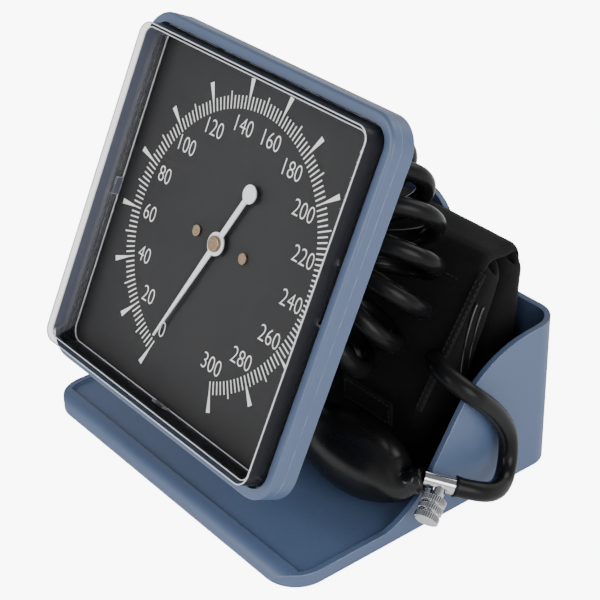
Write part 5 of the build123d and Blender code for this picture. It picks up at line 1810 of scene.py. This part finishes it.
@dataclass
class Cuff:
    """Folded cuff: four padded layers in two folds, with its binding, flap and fastener."""

    left: float = -0.070
    right: float = 0.073
    turn_start: float = 0.062
    bottom: float = 0.0063
    kink: float = 0.038
    top: float = 0.098
    gap: float = 0.0004
    kink_softness: float = 0.0035
    bottom_lines: tuple = (0.01325, 0.0273, 0.0415, 0.0558, 0.0713)
    kink_lines: tuple = (0.01325, 0.0280, 0.0420, 0.0562, 0.0713)
    top_lines: tuple = (0.05125, 0.0560, 0.0610, 0.0660, 0.0713)
    tops: tuple = (0.0980, 0.0995, 0.0975, 0.1000)
    face_point: Triple = (0.0, 0.02425, 0.0570)
    face_normal: Triple = (0.0, -0.835, 0.55)
    wrinkle: float = 0.2
    # How the run's share, the height and the run again stretch the broad wrinkles, then the fine ones
    broad_waves: Triple = (11.0, 45.0, 20.0)
    fine_waves: Triple = (46.0, 190.0, 0.0)
    broad_share: float = 0.75
    broad_seed: float = 3.7
    fine_seed: float = 1.3
    ease_start: float = 0.42
    ease_length: float = 0.16
    top_waver: float = 0.0016
    top_waves: float = 9.0
    end_rim: float = 0.02
    rim_radius: float = 0.005
    across_steps: int = 170
    down_steps: int = 60
    corner: float = 0.011
    wrap_front: float = 0.0845
    wrap_top: float = 0.1002
    wrap_back: float = 0.0900
    wrap_thick: float = 0.0011
    wrap_right: float = 0.0675
    wrap_sag: float = 0.0007
    wrap_waves: Triple = (7.0, 4.0, 9.0)
    wrap_bend: float = 0.003
    wrap_edge_rim: float = 0.0006
    wrap_end_rim: float = 0.004
    wrap_settle: float = 0.8
    seam: Seam = Seam()
    binding_rows: tuple = (0.0673, 0.0697)
    binding_span: tuple = (-0.0185, 0.0425)
    binding_out: float = 0.0009
    flap_out: float = 0.0028
    flap_wide: tuple = (0.0235, 0.0525)
    flap_high: tuple = (0.0265, 0.0355)
    wrap_seam: float = 0.09
    piping_starts: tuple = (0.486, 0.494)
    piping_swing: float = 0.026
    piping_bow: float = 1.6
    piping_top: float = 0.86
    piping_fall: float = 0.5
    piping_radius: float = 0.0007

    def corner_drop(self, x: float) -> float:
        """How far the top comes down near the right end, as a round corner.

        Args:
            x: Place across the cuff.

        Returns:
            The drop.
        """
        inside = x - (self.right - self.corner)
        if inside <= 0:
            return 0.0
        return self.corner - math.sqrt(max(0.0, self.corner**2 - min(inside, self.corner) ** 2))

    def line_at(self, index: int, z: float) -> float:
        """Y of one boundary between layers at a height.

        Args:
            index: Which boundary, from the front.
            z: The height.

        Returns:
            The boundary's Y.
        """
        low = (self.kink_lines[index] - self.bottom_lines[index]) / (self.kink - self.bottom)
        high = (self.top_lines[index] - self.kink_lines[index]) / (self.top - self.kink)
        soft = self.kink_softness
        above = soft * math.log1p(math.exp(min(40.0, (z - self.kink) / soft)))
        return self.kink_lines[index] + low * (z - self.kink) + (high - low) * above

    def middle(self, fold: int, run: float, z: float) -> tuple[Vector, Vector, float]:
        """Middle of the cloth along one fold, seen from above.

        Args:
            fold: 0 for the front fold, 2 for the rear one.
            run: Share of the way from the front layer's left end, round the turn, and back.
            z: The height.

        Returns:
            The middle point, the direction out of the cloth, and half its thickness.
        """
        lines = [self.line_at(fold + i, z) for i in range(3)]
        lines[2] -= self.gap if fold == 0 else 0.0
        lines_mid = lines[1] - self.gap
        y_front, y_back = (lines[0] + lines_mid) / 2, (lines[1] + lines[2]) / 2
        h_front, h_back = (lines_mid - lines[0]) / 2, (lines[2] - lines[1]) / 2
        straight = self.turn_start - self.left
        bend_width = self.right - self.turn_start - (h_front + h_back) / 2
        bend = math.pi * (bend_width + (y_back - y_front) / 2) / 2
        gone = run * (2 * straight + bend)
        if gone < straight:
            return Vector((self.left + gone, y_front, z)), Vector((0, -1, 0)), h_front
        if gone > straight + bend:
            x = self.turn_start - (gone - straight - bend)
            return Vector((x, y_back, z)), Vector((0, 1, 0)), h_back
        angle = math.pi * (gone - straight) / bend
        x = self.turn_start + bend_width * math.sin(angle)
        y = (y_front + y_back) / 2 - (y_back - y_front) / 2 * math.cos(angle)
        out = Vector((math.sin(angle), -math.cos(angle), 0))
        return Vector((x, y, z)), out, h_front + (h_back - h_front) * angle / math.pi

    def cloth_point(self, fold: int, run: float, rise: float, side: int) -> Vector:
        """Point on the cloth.

        Args:
            fold: 0 for the front fold, 2 for the rear one.
            run: Share of the way along the fold.
            rise: Share of the way from the bottom to the top.
            side: 1 for the face on the outside of the turn, -1 for the inside.

        Returns:
            The point.
        """
        first, second = self.tops[fold], self.tops[fold + 1]
        ease = min(1.0, max(0.0, (run - self.ease_start) / self.ease_length))
        top = first + (second - first) * ease
        top -= self.top_waver * (1 - noise.noise(Vector((run * self.top_waves, fold, 3.0))))
        top -= self.corner_drop(self.middle(fold, run, top)[0].x)
        z = self.bottom + (top - self.bottom) * rise
        centre, out, half = self.middle(fold, run, z)
        reach = 2 * (self.turn_start - self.left) + self.end_rim
        rim = rounding(min(run, 1 - run) * reach, self.rim_radius)
        rim *= rounding(top - z, self.rim_radius) * rounding(z - self.bottom, self.rim_radius)
        seeds = (fold * self.broad_seed + side, fold * self.fine_seed - side)
        waves = []
        for (wide, tall, slant), seed in zip((self.broad_waves, self.fine_waves), seeds):
            waves.append(0.5 + 0.5 * noise.noise(Vector((run * wide, z * tall + run * slant, seed))))
        drawn = self.wrinkle * (self.broad_share * waves[0] + (1 - self.broad_share) * waves[1])
        return centre + out * side * half * rim * (1 - drawn)

    def wrap_point(self, u: float, v: float, side: int) -> Vector:
        """Point on the outer cloth that is drawn over the top of both folds.

        Args:
            u: Share of the way from left to right.
            v: Share of the way from the front edge over the top to the back edge.
            side: 1 for its upper face, -1 for its lower one.

        Returns:
            The point.
        """
        x = self.left + (self.wrap_right - self.left) * u
        wide, tall, seed = self.wrap_waves
        sag = self.wrap_sag * (1 + noise.noise(Vector((u * wide, v * tall, seed))))
        front, back = self.line_at(0, self.wrap_front), self.top_lines[-1] - self.wrap_thick
        crest = self.line_at(0, self.wrap_top)
        # Distances along the sloping front, over the crest and down the back
        rise = math.hypot(crest - front, self.wrap_top - self.wrap_front)
        flat, down = back - crest, self.wrap_top - self.wrap_back
        gone = v * (rise + flat + down)
        slope = Vector((0.0, crest - front, self.wrap_top - self.wrap_front)).normalized()
        points = [Vector((x, front, self.wrap_front)), Vector((x, crest, self.wrap_top))]
        points += [Vector((x, back, self.wrap_top)), Vector((x, back, self.wrap_back))]

        def track(at: float) -> Vector:
            """Place on the wrap's sharp-cornered path.

            Args:
                at: Distance along it.

            Returns:
                The place.
            """
            at = min(max(at, 0.0), rise + flat + down)
            if at <= rise:
                return points[0].lerp(points[1], at / rise)
            if at <= rise + flat:
                return points[1].lerp(points[2], (at - rise) / flat)
            return points[2].lerp(points[3], (at - rise - flat) / down)

        near, far = track(gone - self.wrap_bend), track(gone + self.wrap_bend)
        centre = (near + far + track(gone) * 2) / 4
        way = far - near
        out = Vector((0.0, -way.z, way.y)).normalized()
        if out.dot(Vector((0.0, -slope.z, slope.y))) < 0 and gone < rise:
            out = -out
        share = rounding(min(gone, rise + flat + down - gone), self.wrap_edge_rim)
        share *= rounding(min(x - self.left, self.wrap_right - x), self.wrap_end_rim)
        centre.z -= self.corner_drop(x) + sag + (1 - share) * self.wrap_thick * self.wrap_settle
        return centre + out * (self.wrap_thick / 2) * side * share

    def fold_piece(self, name: str, fold: int, finishes: Finishes) -> bpy.types.Object:
        """Make one fold of the cuff.

        Args:
            name: The piece's name.
            fold: 0 for the front fold, 2 for the rear one.
            finishes: The materials.

        Returns:
            The piece.
        """
        def surface(run: float, rise: float, side: int) -> Vector:
            """Point of this fold's cloth."""
            return self.cloth_point(fold, run, rise, side)

        mesh = thick_sheet(surface, shares(self.across_steps, 0.5), shares(self.down_steps, 0.75))
        piece = piece_from(name, *mesh)
        dress(piece, finishes.cloth, "cuff_fabric")
        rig.ride(piece, "stand")
        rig.padded(piece, fill=0.5)
        return piece

    def build(self, finishes: Finishes) -> None:
        """Make the cuff.

        Args:
            finishes: The materials.
        """
        front = self.fold_piece("cuff_front_fold", 0, finishes)
        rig.replaces(front, "cuff_front")
        rear = self.fold_piece("cuff_rear_fold", 2, finishes)
        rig.replaces(rear, "cuff_rear")
        wrap = thick_sheet(self.wrap_point, shares(110, 0.5), shares(64, 0.3))
        top = piece_from("cuff_top_wrap", *wrap)
        dress(top, finishes.cloth, "cuff_fabric")
        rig.ride(top, "stand")
        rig.padded(top, fill=0.5)
        self.slabs(finishes)
        self.sewing(finishes)
        log.info("cuff is done")

    def sewing(self, finishes: Finishes) -> None:
        """Sew the binding, the flap and the top wrap, and pipe the folds' right end.

        Args:
            finishes: The materials.
        """
        out = Vector(self.face_normal).normalized()
        forward = Vector((0.0, -1.0, 0.0))
        rows = []
        for x in self.binding_rows:
            ends = [self.on_face(x, w, self.binding_out) for w in self.binding_span]
            rows.append(self.seam.mesh(ends, out))
        front = self.kink_lines[0] - self.flap_out
        (left, right), (low, high) = self.flap_wide, self.flap_high
        flat = [(left, low), (right, low), (right, high), (left, high), (left, low)]
        corners = [Vector((x, front, z)) for x, z in flat]
        for a, b in zip(corners, corners[1:]):
            rows.append(self.seam.mesh([a, b], forward))
        edge = [self.wrap_point(u, self.wrap_seam, 1) for u in shares(80, 0.0)[2:-4]]
        rows.append(self.seam.mesh(edge, out))
        stitches = piece_from("stitching", *joined(rows))
        dress(stitches, finishes.thread, "binding_tape")
        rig.ride(stitches, "stand")
        pipes = []
        for start in self.piping_starts:
            track = []
            for t in shares(40, 0.0):
                run = start + self.piping_swing * t**self.piping_bow
                track.append(self.cloth_point(0, run, self.piping_top - self.piping_fall * t, 1))
            pipes.append(tube_mesh(track, [self.piping_radius] * len(track), 10))
        piping = piece_from("end_piping", *joined(pipes))
        dress(piping, finishes.piping, "binding_tape")
        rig.ride(piping, "stand")

    def on_face(self, x: float, w: float, out: float) -> Vector:
        """Point by the cuff's front face.

        Args:
            x: Across the face.
            w: Up the face from its middle.
            out: Out of the face.

        Returns:
            The point.
        """
        normal = Vector(self.face_normal).normalized()
        up = normal.cross(Vector((1.0, 0.0, 0.0)))
        return Vector(self.face_point) + Vector((x, 0.0, 0.0)) + up * w + normal * out

    def slab(
        self, place: Callable, wide: tuple, high: tuple, deep: tuple, rim: float, steps: tuple
    ) -> tuple[list, list]:
        """Soft flat pad with rounded rims.

        Args:
            place: Function of x, w and out that gives a point.
            wide: First and last x.
            high: First and last w.
            deep: First and last distance out.
            rim: Radius of its rims.
            steps: Points across and down.

        Returns:
            Its points and faces.
        """
        half = (deep[1] - deep[0]) / 2

        def surface(u: float, v: float, side: int) -> Vector:
            """Point of the pad.

            Args:
                u: Share of the way across.
                v: Share of the way up.
                side: 1 for its front face, -1 for its back.

            Returns:
                The point.
            """
            x = wide[0] + (wide[1] - wide[0]) * u
            w = high[0] + (high[1] - high[0]) * v
            near = min(x - wide[0], wide[1] - x)
            low = min(w - high[0], high[1] - w)
            share = rounding(near, rim) * rounding(low, rim)
            return place(x, w, deep[0] + half + side * half * share)

        return thick_sheet(surface, shares(steps[0], 0.6), shares(steps[1], 0.6))

    def slabs(self, finishes: Finishes) -> None:
        """Make the bladder, the binding, the flap and the two fastener patches.

        Args:
            finishes: The materials.
        """
        bladder = self.slab(
            self.on_face, (-0.040, 0.040), (-0.014, 0.036), (-0.0062, -0.0036), 0.003, (40, 30)
        )
        piece = piece_from("air_bladder", *bladder)
        dress(piece, finishes.hose, "bladder_rubber")
        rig.replaces(piece, "cuff_bladder")
        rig.ride(piece, "stand")
        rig.padded(piece, fill=0.1)
        binding = self.slab(
            self.on_face, (0.0665, 0.0705), (-0.020, 0.044), (0.0, 0.0009), 0.0008, (14, 90)
        )
        piece = piece_from("edge_binding", *binding)
        dress(piece, finishes.tape, "binding_tape")
        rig.replaces(piece, "cuff_binding")
        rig.ride(piece, "stand")
        rows = [
            ("loop_pile", "loop_patch", finishes.pile, "fastener_tape", 0.002, 0.0, 0.0006),
            ("hook_pile", "hook_patch", finishes.pile, "fastener_tape", 0.002, 0.0006, 0.0012),
            ("closing_flap", "cuff_flap", finishes.cloth, "cuff_fabric", 0.0, 0.0012, 0.0028),
        ]
        front = self.kink_lines[0]
        for name, node, material, slot, margin, near, far in rows:
            def place(x: float, w: float, out: float) -> Vector:
                """Point in front of the cuff's upright lower face."""
                return Vector((x, front - out, w))

            wide, high = (0.022 + margin, 0.054 - margin), (0.025 + margin, 0.037 - margin)
            piece = piece_from(name, *self.slab(place, wide, high, (near, far), 0.0012, (50, 24)))
            dress(piece, material, slot)
            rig.replaces(piece, node)
            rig.ride(piece, "stand")


def write_sizes() -> None:
    """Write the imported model's box and the visual model's box."""
    boxes = {"cad": CAD_BOX, "visual": [list(corner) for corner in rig.bounds()]}
    with open(SIZE_FILE, "w") as file:
        json.dump(boxes, file)


def main() -> None:
    """Build the camera, the hoses and every other piece in order."""
    Studio().build()
    finishes = Finishes()
    Coil().build(finishes)
    BulbHose().build(finishes)
    Base().build(finishes)
    GaugeHead().build(finishes)
    Movement().build(finishes)
    Bulb().build(finishes)
    Cuff().build(finishes)
    write_sizes()


if __name__ == "__main__":
    logging.basicConfig(level=logging.INFO, format="%(name)s: %(message)s")
    main()
